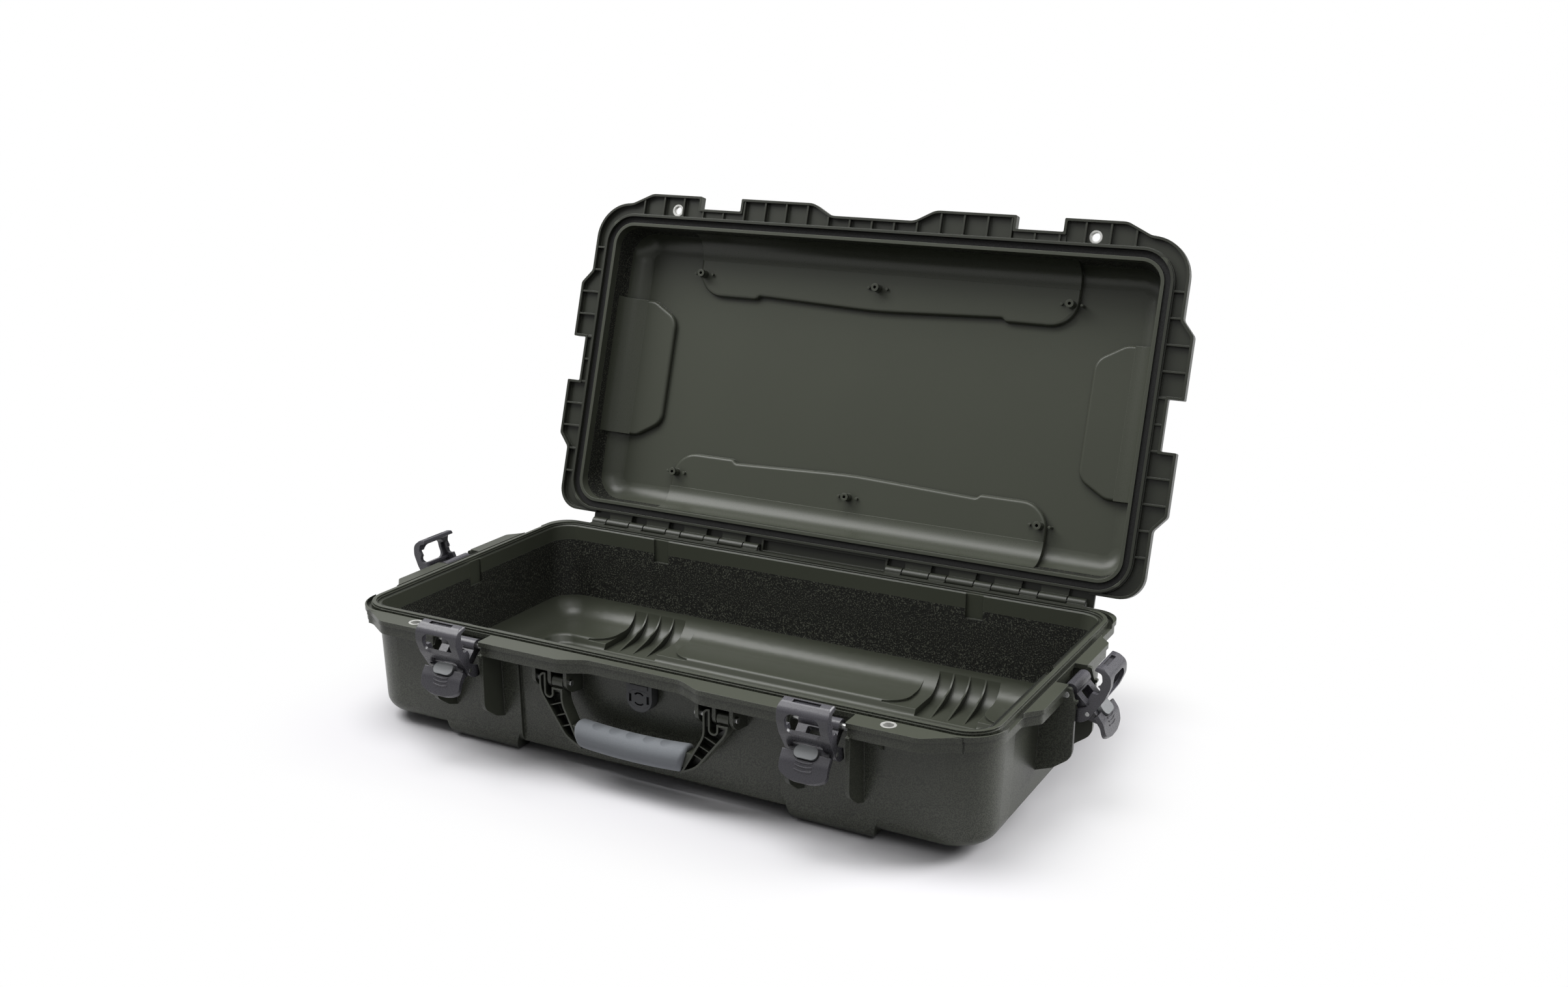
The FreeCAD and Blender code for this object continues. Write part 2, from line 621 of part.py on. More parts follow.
def foot_bay():
    """Hollow above the foot at the right back: a scooped bay with sickle ribs and a smooth valley."""
    near = BELLY_HALF_Y - BELLY_SKIN - BELLY_SLOPE
    far = HALF_W - FOOT_BAY_MARGIN
    top = PAD_FLOOR + CAVITY_EDGE_ROUND
    scoop_top = BELLY_FLOOR + FOOT_BAY_SCOOP
    bay_start = FOOT_MID_X - FOOT_BAY_HALF
    bay_end = FOOT_MID_X + FOOT_BAY_HALF
    scoop = [(near, BELLY_FLOOR, 0), (far, BELLY_FLOOR, FOOT_BAY_SCOOP), (far, top, 0), (near, top, 0)]
    bay = along_x(scoop, bay_start, bay_end)
    waist = (HALF_W - FOOT_RIB_WAIST_MARGIN, BELLY_FLOOR + FOOT_RIB_WAIST, FOOT_RIB_ROUND)
    rib_end = (HALF_W - FOOT_RIB_END_MARGIN, BELLY_FLOOR, 0)
    sickle = [rib_end, (far, BELLY_FLOOR, 0), (far, scoop_top, 0), waist]
    for i in range(FOOT_RIB_COUNT):
        x = FOOT_MID_X + FOOT_RIB_PITCH * (i - (FOOT_RIB_COUNT - 1) / 2)
        bay = bay.cut(along_x(sickle, x - FOOT_RIB_THICK / 2, x + FOOT_RIB_THICK / 2))
    dale = [(near, VALLEY_FLOOR, 0), (far, VALLEY_FLOOR, VALLEY_SCOOP), (far, top, 0), (near, top, 0)]
    valley = along_x(dale, bay_start - VALLEY_WIDTH, bay_start)
    hollows = [bay, valley]
    edge = BELLY_HALF_Y - BELLY_SKIN
    for x, side in ((bay_start - VALLEY_WIDTH, -1), (bay_end, 1)):
        x0, x1 = sorted((x, x + side * PAD_CORNER_ROUND))
        corner = block(x0, x1, near, edge + PAD_CORNER_ROUND, VALLEY_FLOOR, PAD_FLOOR)
        middle = Vec(x + side * PAD_CORNER_ROUND, edge + PAD_CORNER_ROUND, VALLEY_FLOOR)
        hollows.append(corner.cut(rod(middle, Vec(0, 0, 1), PAD_CORNER_ROUND, PAD_FLOOR - VALLEY_FLOOR)))
    return joined(hollows)


def base_cavity():
    """Inside of the base: the room, the bays above the feet and the notches at the rim."""
    hollows = [belly_room(), plate(rim_rect(0), 0, TONGUE_TOP + LIP_DROP)]
    bay = foot_bay()
    half = bay.fuse(bay.mirror(ORIGIN, Vec(1, 0, 0)))
    hollows += [half, half.mirror(ORIGIN, Vec(0, 1, 0))]
    high = TONGUE_TOP
    for sx in (-1, 1):
        for sy in (-1, 1):
            y0, y1 = sorted((sy * (HALF_W - NOTCH_HALF), sy * (HALF_W + NOTCH_DEPTH)))
            hollows.append(block(sx * NOTCH_X - NOTCH_HALF, sx * NOTCH_X + NOTCH_HALF, y0, y1,
                                 NOTCH_BOTTOM, high))
        x0, x1 = sorted((sx * (HALF_L - NOTCH_HALF), sx * (HALF_L + NOTCH_DEPTH)))
        hollows.append(block(x0, x1, -NOTCH_HALF, NOTCH_HALF, NOTCH_BOTTOM, high))
    return hollows


def latch_guards():
    """Two guard fins beside one latch, with the bores of the pivot pin."""
    bore = rod(Vec(PIVOT_U, -GUARD_IN - GUARD_THICK, PIVOT_W), Vec(0, 1, 0), PIVOT_PIN_RADIUS + PIN_FIT,
               2 * (GUARD_IN + GUARD_THICK))
    fins = [along_y(GUARD_OUTLINE, GUARD_IN, GUARD_IN + GUARD_THICK),
            along_y(GUARD_OUTLINE, -GUARD_IN - GUARD_THICK, -GUARD_IN)]
    return fins, bore


def handle_pivot():
    return -HALF_W - HANDLE_PIVOT_REACH


def handle_bracket_plates():
    fins = []
    for mid in (-HANDLE_MID_X, HANDLE_MID_X):
        for step in (-1, 0, 1):
            fin = along_y(BRACKET_OUTLINE, -BRACKET_THICK / 2, BRACKET_THICK / 2)
            fins.append(front_placed(fin, mid + step * BRACKET_PITCH))
    return fins


def handle_pin_span(mid):
    reach = BRACKET_PITCH + BRACKET_THICK / 2 + HANDLE_PIN_OVERHANG
    return mid - reach, 2 * reach


def handle_rods(radius):
    rods = []
    for mid in (-HANDLE_MID_X, HANDLE_MID_X):
        start, length = handle_pin_span(mid)
        rods.append(rod(Vec(start, handle_pivot(), HANDLE_PIVOT_W), Vec(1, 0, 0), radius, length))
    return rods


def valve_outline(gap):
    half = VALVE_HALF + gap
    low = VALVE_LOW_W - gap
    return [(-half, VALVE_TOP_W + gap, VALVE_TOP_ROUND), (-half, low, half - SEAT_FIT / 5),
            (half, low, half - SEAT_FIT / 5), (half, VALVE_TOP_W + gap, VALVE_TOP_ROUND)]


def valve_rod(radius, reach_in, reach_out):
    """Round bar through the front wall on the axis of the valve."""
    return rod(Vec(0, -HALF_W - reach_in, VALVE_MID_W), Vec(0, -1, 0), radius, reach_out - reach_in)


def eyelet_holes(radius, low, high):
    return [rod(Vec(sx * EYELET_X, -HALF_W - EYELET_REACH, low), Vec(0, 0, 1), radius, high - low)
            for sx in (-1, 1)]


def base_shell():
    outline = rim_outline(BASE_REACHES, BASE_CORNER_ROUND, 0)
    step = rim_outline(BASE_REACHES, BASE_CORNER_ROUND, FLANGE_STEP)
    step_in = rim_outline(BASE_REACHES, BASE_CORNER_ROUND, FLANGE_STEP + FLANGE_SKIRT_THICK)
    solids = [base_hull(), plate(outline, -FLANGE_THICK, 0), plate(rim_rect(BASE_RAIL_REACH - FLANGE_STEP),
                                                                  -BASE_RAIL_DEPTH, -FLANGE_THICK)]
    solids[2] = solids[2].common(plate(step, -BASE_RAIL_DEPTH, -FLANGE_THICK))
    solids.append(plate(step, -FLANGE_SKIRT_DEPTH, -FLANGE_THICK)
                  .cut(plate(step_in, -FLANGE_SKIRT_DEPTH, -FLANGE_THICK)))
    bores = []
    fins, fin_bore = latch_guards()
    for name, x, y, turn in LATCHES:
        solids += [placed(fin, x, y, turn) for fin in fins]
        bores.append(placed(fin_bore, x, y, turn))
    solids += handle_bracket_plates()
    bores += handle_rods(HANDLE_PIN_RADIUS + PIN_FIT)
    for sx in (-1, 1):
        gusset = along_y(GUSSET_OUTLINE, -GUSSET_THICK / 2, GUSSET_THICK / 2)
        solids.append(front_placed(gusset, sx * GUSSET_X))
    hinge, hinge_bores = knuckles(True)
    shell = joined(solids + hinge)
    shell = shell.cut(base_cavity() + bores + hinge_bores)
    shell = shell.cut([ring(GROOVE_IN, GROOVE_OUT, -GROOVE_DEPTH, 0), ring(0, LIP_REACH, -LIP_DROP, 0)])
    shell = shell.fuse(ring(TONGUE_IN, TONGUE_OUT, -LIP_DROP, TONGUE_TOP))
    shell = shell.cut(along_y(valve_outline(VALVE_POCKET_GAP), -HALF_W - BASE_REACHES["bay"],
                              -HALF_W - VALVE_SEAT_REACH))
    shell = shell.fuse(valve_rod(VALVE_PAD_RADIUS, VALVE_PAD_REACH, VALVE_SEAT_REACH))
    shell = shell.cut(valve_rod(VALVE_STEM_RADIUS + SEAT_FIT, VALVE_STEM_END_REACH, VALVE_FRONT_REACH))
    shell = shell.cut(eyelet_holes(EYELET_RADIUS + SEAT_FIT, -FLANGE_THICK, 0))
    shell = shell.cut(eyelet_holes(EYELET_COLLAR_RADIUS + SEAT_FIT, -FLANGE_THICK - EYELET_COLLAR,
                                   -FLANGE_THICK))
    return shell.removeSplitter()


def long_panel(inset):
    """Outline of the raised panel along the front of the lid."""
    edge = LONG_PANEL_Y + inset
    end = LONG_PANEL_HALF - inset
    step = LONG_PANEL_STEP_X
    wall = HALF_W + WALL_REACH - 2 * inset
    half = [(step, -edge - LONG_PANEL_STEP, LONG_PANEL_STEP_ROUND),
            (step + LONG_PANEL_STEP, -edge, LONG_PANEL_STEP_ROUND),
            (end, -edge, LONG_PANEL_ROUND - inset), (end, -wall, inset)]
    bow = [(0, -edge - LONG_PANEL_STEP + LONG_PANEL_BOW, LONG_PANEL_BOW_ROUND)]
    return bow + [(x, y, r) for x, y, r in half] + [(-x, y, r) for x, y, r in reversed(half)]


def side_panel(inset):
    """Outline of the raised panel at the right end of the lid."""
    wall = HALF_L + WALL_REACH - 2 * inset
    nose = SIDE_PANEL_X + inset
    half = [(nose, SIDE_PANEL_NOSE_Y - inset / 2, SIDE_PANEL_ROUND),
            (SIDE_PANEL_TURN_X, SIDE_PANEL_TURN_Y - inset, SIDE_PANEL_ROUND),
            (wall, SIDE_PANEL_TURN_Y - inset, inset)]
    return half + [(x, -y, r) for x, y, r in reversed(half)]


def lid_panels(inset, low, high):
    """The four panels as prisms between two levels."""
    solids = []
    for outline, turn in ((long_panel(inset), 0), (long_panel(inset), 180), (side_panel(inset), 0),
                          (side_panel(inset), 180)):
        solids.append(placed(plate(outline, low, high), 0, 0, turn))
    return solids


def lid_ribs():
    """Ribs across the tray between the ridge and the skirt."""
    limit = plate(rim_outline(LID_REACHES, LID_CORNER_ROUND, SKIRT_THICK / 2), RIB_FOOT, TRAY_BOTTOM)
    limit = limit.cut(plate(rim_rect(RIDGE_OUT - RIB_THICK / 2), RIB_FOOT, TRAY_BOTTOM))
    far = HALF_L + OPEN_WIDTH
    half = RIB_THICK / 2
    bars = []
    across = int((HALF_L - OPEN_ROUND / 2) // RIB_PITCH)
    for i in range(-across, across + 1):
        x = i * RIB_PITCH
        for y0, y1 in ((-far, -HALF_W), (HALF_W, far)):
            bars.append(block(x - half, x + half, y0, y1, RIB_FOOT, TRAY_BOTTOM))
    deep = int((HALF_W - OPEN_ROUND / 2) // RIB_PITCH)
    for i in range(-deep, deep + 1):
        y = i * RIB_PITCH
        for x0, x1 in ((-far, -HALF_L), (HALF_L, far)):
            bars.append(block(x0, x1, y - half, y + half, RIB_FOOT, TRAY_BOTTOM))
    return limit.common(bars)


def lid_bosses():
    solids = []
    holes = []
    for sx in (-1, 0, 1):
        for sy in (-1, 1):
            x, y = sx * BOSS_X, sy * BOSS_Y
            up = Vec(0, 0, 1)
            solids.append(rod(Vec(x, y, BOSS_TIP), up, BOSS_RADIUS, LID_FLOOR - BOSS_TIP))
            holes.append(rod(Vec(x, y, BOSS_TIP), up, BOSS_HOLE_RADIUS, BOSS_HOLE_DEPTH))
            for side in (-1, 1):
                solids.append(rod(Vec(x + side * PIP_OFFSET, y, PIP_TIP), up, PIP_RADIUS,
                                  LID_FLOOR - PIP_TIP))
    return solids, holes


def hinge_cover():
    """Plate of the lid over the knuckles, with an apron between the two groups."""
    half = hinge_group_end() + HINGE_PLATE_OVER_X
    near = HALF_W + KNUCKLE_ARM_REACH
    far = HINGE_Y + HINGE_PLATE_OVER_Y
    wide = HINGE_START_X - HINGE_APRON_END_GAP
    thick = HINGE_APRON_THICK
    solids = [block(-half, half, near, far, TRAY_BOTTOM, TRAY_TOP),
              block(-wide, wide, far - thick, far, LID_GAP, TRAY_BOTTOM)]
    for x in (-wide, wide - thick):
        solids.append(block(x, x + thick, near, far, LID_GAP, TRAY_BOTTOM))
    return solids


def lid_shell():
    rim = rect(HALF_L + WALL_REACH, HALF_W + WALL_REACH, WALL_ROUND)
    top = rect(HALF_L + WALL_REACH - LID_SHRINK, HALF_W + WALL_REACH - LID_SHRINK, WALL_ROUND - LID_SHRINK)
    body = tapered(rim, LID_GAP, top, LID_TOP)
    body = body.makeFillet(LID_TOP_ROUND, edges_at(body, LID_TOP))
    body = body.cut(lid_panels(LID_PANEL_WALL, LID_PANEL_FLOOR + LID_PANEL_SKIN, LID_TOP))
    outline = rim_outline(LID_REACHES, LID_CORNER_ROUND, 0)
    inner = rim_outline(LID_REACHES, LID_CORNER_ROUND, SKIRT_THICK)
    tray = plate(outline, LID_GAP, TRAY_TOP).cut(plate(inner, LID_GAP, TRAY_BOTTOM))
    rail = plate(rim_rect(LID_RAIL_REACH), LID_GAP, LID_RAIL_TOP)
    keep_u = LID_REACHES["bay"]
    for name, x, y, turn in LATCHES:
        lip = block(LID_RAIL_REACH - RIB_THICK, keep_u, -BAY_HALF - SKIRT_THICK, BAY_HALF + SKIRT_THICK,
                    KEEPER_BOTTOM, KEEPER_TOP)
        seat = block(LID_RAIL_REACH, keep_u + SKIRT_THICK, -BAY_HALF, BAY_HALF, KEEPER_TOP, TRAY_TOP)
        tray = tray.fuse(placed(lip, x, y, turn)).cut(placed(seat, x, y, turn))
    hinge, hinge_bores = knuckles(False)
    shell = joined([body, tray, rail, lid_ribs()] + hinge + hinge_cover())
    room_rim = rim_rect(0)
    room_top = rect(HALF_L - LID_CAVITY_SHRINK, HALF_W - LID_CAVITY_SHRINK, LID_FLOOR_CORNER)
    room = tapered(room_rim, LID_GAP, room_top, LID_FLOOR)
    room = room.makeFillet(LID_FLOOR_ROUND, edges_at(room, LID_FLOOR))
    for panel in lid_panels(0, LID_PANEL_FLOOR, LID_TOP):
        room = room.cut(panel.makeFillet(LID_PANEL_EDGE, edges_at(panel, LID_PANEL_FLOOR)))
    bosses, boss_holes = lid_bosses()
    shell = shell.cut([room, ring(CHANNEL_IN, CHANNEL_OUT, 0, CHANNEL_TOP)] + hinge_bores)
    shell = shell.fuse([ring(CHANNEL_OUT, RIDGE_OUT, -RIDGE_DROP, LID_RAIL_TOP)] + bosses)
    base_gaps = []
    for sign in (-1, 1):
        for on_base, start, length in knuckle_spans(sign):
            if on_base:
                y = HALF_W + LID_REACHES["back"]
                base_gaps.append(block(start - KNUCKLE_GAP / 2, start + length + KNUCKLE_GAP / 2,
                                       y - LID_CUT_DEPTH + SKIRT_THICK, y + SKIRT_THICK, 0, TRAY_BOTTOM))
    shell = shell.cut(boss_holes + base_gaps + eyelet_holes(EYELET_RADIUS + SEAT_FIT, 0, TRAY_TOP))
    shell = shell.cut(eyelet_holes(EYELET_COLLAR_RADIUS + SEAT_FIT, TRAY_TOP, TRAY_TOP + EYELET_COLLAR))
    return shell.removeSplitter()


def eyelets(low, high, collar_low):
    """Two metal eyelets, each a tube with a collar."""
    solids = []
    for sx in (-1, 1):
        foot = Vec(sx * EYELET_X, -HALF_W - EYELET_REACH, low)
        collar = Vec(sx * EYELET_X, -HALF_W - EYELET_REACH, collar_low)
        up = Vec(0, 0, 1)
        bore_foot = Vec(foot.x, foot.y, min(low, collar_low))
        tall = high - low + EYELET_COLLAR
        tube = rod(foot, up, EYELET_RADIUS, high - low).fuse(rod(collar, up, EYELET_COLLAR_RADIUS,
                                                                EYELET_COLLAR))
        solids.append(tube.cut(rod(bore_foot, up, EYELET_BORE, tall)).removeSplitter())
    return Part.makeCompound(solids)


def claw():
    """Hook plate of a latch, closed pose."""
    body = along_y(CLAW_OUTLINE, -CLAW_HALF, CLAW_HALF)
    body = body.cut(along_y(CLAW_HOLLOW, -CLAW_CHEEK_IN, CLAW_CHEEK_IN))
    half, low, high, radius = CLAW_WINDOW
    sill = block(CLAW_SILL_U, CLAW_FAR_U, -CLAW_CHEEK_IN, CLAW_CHEEK_IN, low - CLAW_SILL_THICK, low)
    body = body.fuse(sill.common(along_y(CLAW_OUTLINE, -CLAW_HALF, CLAW_HALF)))
    face = [(-CLAW_HALF, TAB_TIP_W, 0), (CLAW_HALF, TAB_TIP_W, 0), (CLAW_HALF, CLAW_TOP, CLAW_CORNER),
            (-CLAW_HALF, CLAW_TOP, CLAW_CORNER)]
    body = body.common(along_x(face, 0, CLAW_FAR_U))
    body = body.cut(along_x(opening(half, low, high, radius), PIVOT_U, CLAW_FAR_U))
    body = body.cut(along_x(opening(*CLAW_NOTCH), PIVOT_U, CLAW_FAR_U))
    half, near, far, floor = CLAW_GROOVE
    body = body.cut(block(near, far, -half, half, floor, CLAW_TOP))
    return body.cut(claw_pin_rod(CLAW_PIN_RADIUS + PIN_FIT, CLAW_HALF)).removeSplitter()


def claw_pin_rod(radius, half):
    return rod(Vec(PIVOT_U, -half, PIVOT_W - LINK_LENGTH), Vec(0, 1, 0), radius, 2 * half)


def tab_ridges():
    """Three curved ridges that follow the outer face of the thumb tab."""
    rings = []
    for w in TAB_RIDGE_W:
        middle = Vec(0, 0, w + TAB_RIDGE_BEND)
        rings.append(rod(middle, Vec(1, 0, 0), TAB_RIDGE_BEND, CLAW_FAR_U)
                     .cut(rod(middle, Vec(1, 0, 0), TAB_RIDGE_BEND - TAB_RIDGE_WIDTH, CLAW_FAR_U)))
    outline = [(u + TAB_RIDGE_RAISE, w, r) for u, w, r in TAB_OUTLINE]
    raised = along_y(outline, -TAB_RIDGE_HALF, TAB_RIDGE_HALF)
    strip = raised.common(block(0, CLAW_FAR_U, -TAB_RIDGE_HALF, TAB_RIDGE_HALF,
                                TAB_TIP_W, SLIDER_LOW - SLIDER_GAP))
    return [strip.common(ring_shape) for ring_shape in rings]


def lever():
    """Link and thumb tab of a latch, closed pose."""
    barrel = rod(Vec(PIVOT_U, -LEVER_HALF, PIVOT_W), Vec(0, 1, 0), BARREL_RADIUS, 2 * LEVER_HALF)
    link = along_y(LINK_OUTLINE, -LEVER_HALF, LEVER_HALF)
    tab = along_y(TAB_OUTLINE, -TAB_HALF, TAB_HALF)
    face = [(-TAB_HALF, TAB_SIDE_W, TAB_CORNER), (0, TAB_TIP_W - TAB_SHELL_THICK, TAB_TIP_ROUND),
            (TAB_HALF, TAB_SIDE_W, TAB_CORNER), (TAB_HALF, 0, 0), (-TAB_HALF, 0, 0)]
    tab = tab.common(along_x(face, 0, CLAW_FAR_U))
    body = joined([barrel, link, tab] + tab_ridges())
    body = body.cut(along_x(opening(*LINK_HOLE), 0, CLAW_FAR_U))
    body = body.cut(rod(Vec(PIVOT_U, -TAB_HALF, PIVOT_W), Vec(0, 1, 0), PIVOT_PIN_RADIUS + PIN_FIT,
                        2 * TAB_HALF))
    body = body.cut(claw_pin_rod(CLAW_PIN_RADIUS + PIN_FIT, TAB_HALF))
    recess = opening(SLIDER_HALF + SLIDER_GAP, SLIDER_LOW - SLIDER_GAP, SLIDER_GROOVE_HIGH,
                     SLIDER_ROUND + SLIDER_GAP)
    body = body.cut(along_x(recess, SLIDER_SEAT_U, CLAW_FAR_U))
    return body.cut(block(SLIDER_GROOVE_U, SLIDER_SEAT_U, -SLIDER_GROOVE_HALF, SLIDER_GROOVE_HALF,
                          SLIDER_GROOVE_LOW, SLIDER_GROOVE_HIGH))


def slider():
    """Lock slider that rides in the groove of the lever, closed pose."""
    head = along_x(opening(SLIDER_HALF, SLIDER_LOW, SLIDER_HIGH, SLIDER_ROUND),
                   SLIDER_SEAT_U, SLIDER_FRONT_U)
    tongue = block(SLIDER_TONGUE_U, SLIDER_SEAT_U, -SLIDER_TONGUE_HALF, SLIDER_TONGUE_HALF,
                   SLIDER_TONGUE_LOW, SLIDER_TONGUE_HIGH)
    return joined([head, tongue])


def with_lever(shape):
    """Turns a piece that rides on the lever to the open pose."""
    moved = shape.copy()
    moved.rotate(Vec(PIVOT_U, 0, PIVOT_W), Vec(0, 1, 0), -LEVER_SWING)
    return moved


def with_claw(shape):
    """Moves the claw with its pin and turns it to the open pose."""
    angle = math.radians(LEVER_SWING)
    moved = shape.copy()
    moved.translate(Vec(LINK_LENGTH * math.sin(angle), 0, LINK_LENGTH * (1 - math.cos(angle))))
    pin_u = PIVOT_U + LINK_LENGTH * math.sin(angle)
    pin_w = PIVOT_W - LINK_LENGTH * math.cos(angle)
    moved.rotate(Vec(pin_u, 0, pin_w), Vec(0, 1, 0), CLAW_SWING)
    return moved


def grip_zone(y0, y1):
    """Room of the grip between its slanted ends."""
    lean = (GRIP_TOP_HALF - GRIP_LOW_HALF) / (GRIP_TOP_W - GRIP_LOW_W)
    low = GRIP_LOW_HALF - lean * GRIP_ROUND
    high = GRIP_TOP_HALF + lean * GRIP_SCALLOP_DEPTH
    low_w = GRIP_LOW_W - GRIP_ROUND
    high_w = GRIP_TOP_W + GRIP_SCALLOP_DEPTH
    return along_y([(-low, low_w, 0), (low, low_w, 0), (high, high_w, 0), (-high, high_w, 0)], y0, y1)


def handle_core():
    y = handle_pivot()
    return block(-CORE_HALF_X, CORE_HALF_X, y - CORE_DEPTH_HALF, y + CORE_DEPTH_HALF,
                 CORE_LOW_W, CORE_HIGH_W)


def inset_corners(corners, inset):
    """Corners of an outline moved inward by one distance, with the radii changed to match."""
    count = len(corners)
    points = [Vec(x, y, 0) for x, y, radius in corners]
    area = sum(points[i - 1].cross(points[i]).z for i in range(count))
    up = Vec(0, 0, math.copysign(1, area))
    moved = []
    for i in range(count):
        into = (points[i] - points[i - 1]).normalize()
        out = (points[(i + 1) % count] - points[i]).normalize()
        inward = up.cross(into)
        onward = up.cross(out)
        place = points[i] + (inward + onward) * (inset / (1 + inward.dot(onward)))
        turn = math.copysign(1, into.cross(out).dot(up))
        moved.append((place.x, place.y, max(corners[i][2] - turn * inset, 0)))
    return moved


def arm_outline(side):
    """Corners of one arm, seen from the front; its lugs sit a little off the bracket's middle."""
    outer = HANDLE_MID_X + side * LUG_OFFSET + LUG_HALF
    inner = HANDLE_MID_X + side * LUG_OFFSET - LUG_HALF
    elbow = HANDLE_MID_X - ARM_ELBOW_SETBACK
    tip = HANDLE_MID_X - ARM_TIP_SETBACK
    corners = [(outer, LUG_TOP_W, LUG_ROUND), (outer, ARM_TURN_W, ARM_TURN_ROUND),
               (elbow, ARM_ELBOW_W, ARM_ELBOW_ROUND), (tip, ARM_TIP_W, 0),
               (inner, ARM_INNER_W, ARM_INNER_ROUND), (inner, LUG_TOP_W, LUG_ROUND)]
    return [(side * x, w, r) for x, w, r in corners]


def arm_ribs(side, front, back):
    """Thin slanting ribs across the pocket of one arm."""
    ribs = []
    long = LUG_HALF * 2
    for i in range(ARM_RIB_COUNT):
        w = ARM_RIB_START_W - i * ARM_RIB_PITCH
        x = side * (HANDLE_MID_X - (i + 1) * ARM_RIB_PITCH / 2)
        rib = block(x - long, x + long, front + ARM_RIB_DROP, back,
                    w - ARM_RIB_THICK / 2, w + ARM_RIB_THICK / 2)
        rib.rotate(Vec(x, 0, w), Vec(0, 1, 0), side * ARM_RIB_TILT)
        ribs.append(rib)
    return ribs


def arm_pocket(side, mid, front, back):
    """Hollow in the front of one arm, with the fork and the barrel lug left standing in it."""
    pocket = along_y(inset_corners(arm_outline(side), ARM_RIM), front, front + ARM_POCKET_DEPTH)
    far = mid + 2 * LUG_HALF
    shallow = block(mid - 2 * LUG_HALF, far, front + LEG_POCKET_DEPTH, back, LEG_POCKET_W, 0)
    wall = FORK_HALF + FORK_WALL
    fork_low = FORK_LOW - FORK_WALL
    fork = along_y([(mid - wall, fork_low, wall - SEAT_FIT), (mid + wall, fork_low, wall - SEAT_FIT),
                    (mid + wall, 0, 0), (mid - wall, 0, 0)], front, back)
    barrel = block(mid, far, front, back, BARREL_LUG_CUT - FORK_WALL, 0)
    return pocket.cut([shallow, fork, barrel] + arm_ribs(side, front, back))


def handle_frame():
    """Hanging handle: two forked, cored arms and the bar inside the grip."""
    y = handle_pivot()
    front = y - HANDLE_DEPTH_HALF
    back = y + HANDLE_DEPTH_HALF
    solids = []
    cuts = []
    for side in (-1, 1):
        mid = side * HANDLE_MID_X
        solids.append(along_y(arm_outline(side), front, back))
        cuts.append(along_y([(mid - FORK_HALF, FORK_LOW, FORK_HALF - SEAT_FIT),
                             (mid + FORK_HALF, FORK_LOW, FORK_HALF - SEAT_FIT),
                             (mid + FORK_HALF, HANDLE_LUG_TOP, 0), (mid - FORK_HALF, HANDLE_LUG_TOP, 0)],
                            front, back))
        lug = block(mid + FORK_HALF, mid + 2 * LUG_HALF, front, back, BARREL_LUG_CUT, HANDLE_LUG_TOP)
        cuts.append(lug.cut(rod(Vec(mid, y, HANDLE_PIVOT_W), Vec(1, 0, 0), BARREL_LUG_RADIUS, 2 * LUG_HALF)))
        cuts.append(arm_pocket(side, mid, front, back))
    zone = grip_zone(front - GRIP_DEPTH_HALF, back + GRIP_DEPTH_HALF)
    body = joined([solid.cut(zone) for solid in solids] + [handle_core()])
    body = body.cut(cuts)
    return body.cut(handle_rods(HANDLE_PIN_RADIUS + PIN_FIT)).removeSplitter()


def handle_grip():
    """Soft grip round the bar, bowed downward, with rounded ends and finger scallops on top."""
    y = handle_pivot()
    mid_w = (GRIP_TOP_W + GRIP_LOW_W) / 2
    half_w = (GRIP_TOP_W - GRIP_LOW_W) / 2
    bend = GRIP_TOP_HALF ** 2 / (2 * GRIP_BOW)
    axis = Vec(0, 0, mid_w - GRIP_BOW + bend)
    across = Vec(0, 1, 0)
    span = 2 * math.degrees(math.asin((GRIP_TOP_HALF + GRIP_ROUND) / bend))
    section = Part.Face(rounded_wire(rect(GRIP_DEPTH_HALF, half_w, GRIP_ROUND, y, mid_w - GRIP_BOW), 0))
    section.rotate(ORIGIN, Vec(1, 1, 1), 120)
    section.rotate(axis, across, -span / 2)
    body = section.revolve(axis, across, span)
    body = body.common(grip_zone(y - 2 * GRIP_DEPTH_HALF, y + 2 * GRIP_DEPTH_HALF))
    near_end = GRIP_LOW_HALF - GRIP_END_ROUND
    ends = [edge for edge in body.Edges if edge.BoundBox.XMin > near_end or edge.BoundBox.XMax < -near_end]
    body = body.makeFillet(GRIP_END_ROUND, ends)
    for i in range(GRIP_SCALLOP_COUNT):
        x = GRIP_SCALLOP_PITCH * (i - (GRIP_SCALLOP_COUNT - 1) / 2)
        top = axis.z - math.sqrt((bend - half_w) ** 2 - x ** 2)
        start = Vec(x, y - GRIP_DEPTH_HALF, top + GRIP_SCALLOP_RADIUS - GRIP_SCALLOP_DEPTH)
        body = body.cut(rod(start, across, GRIP_SCALLOP_RADIUS, 2 * GRIP_DEPTH_HALF))
    return body.cut(handle_core())


def valve_cap_outline(gap):
    half = VALVE_CAP_HALF + gap
    high = VALVE_CAP_HALF_HIGH + gap
    return opening(half, VALVE_MID_W - high, VALVE_MID_W + high, VALVE_CAP_ROUND)


def valve_body():
    """Valve plate on the front wall with its stem through the wall and a seat for the cap."""
    front = -HALF_W - VALVE_FRONT_REACH
    body = along_y(valve_outline(0), front, -HALF_W - VALVE_SEAT_REACH)
    body = body.cut(along_y(valve_cap_outline(SEAT_FIT), front, front + VALVE_CAP_THICK))
    panel = along_y(opening(VALVE_PANEL_HALF, VALVE_PANEL_LOW_W, VALVE_PANEL_HIGH_W, VALVE_PANEL_RAISE),
                    front - VALVE_PANEL_RAISE, front)
    return joined([body, panel, valve_rod(VALVE_STEM_RADIUS, VALVE_STEM_END_REACH, VALVE_SEAT_REACH)])


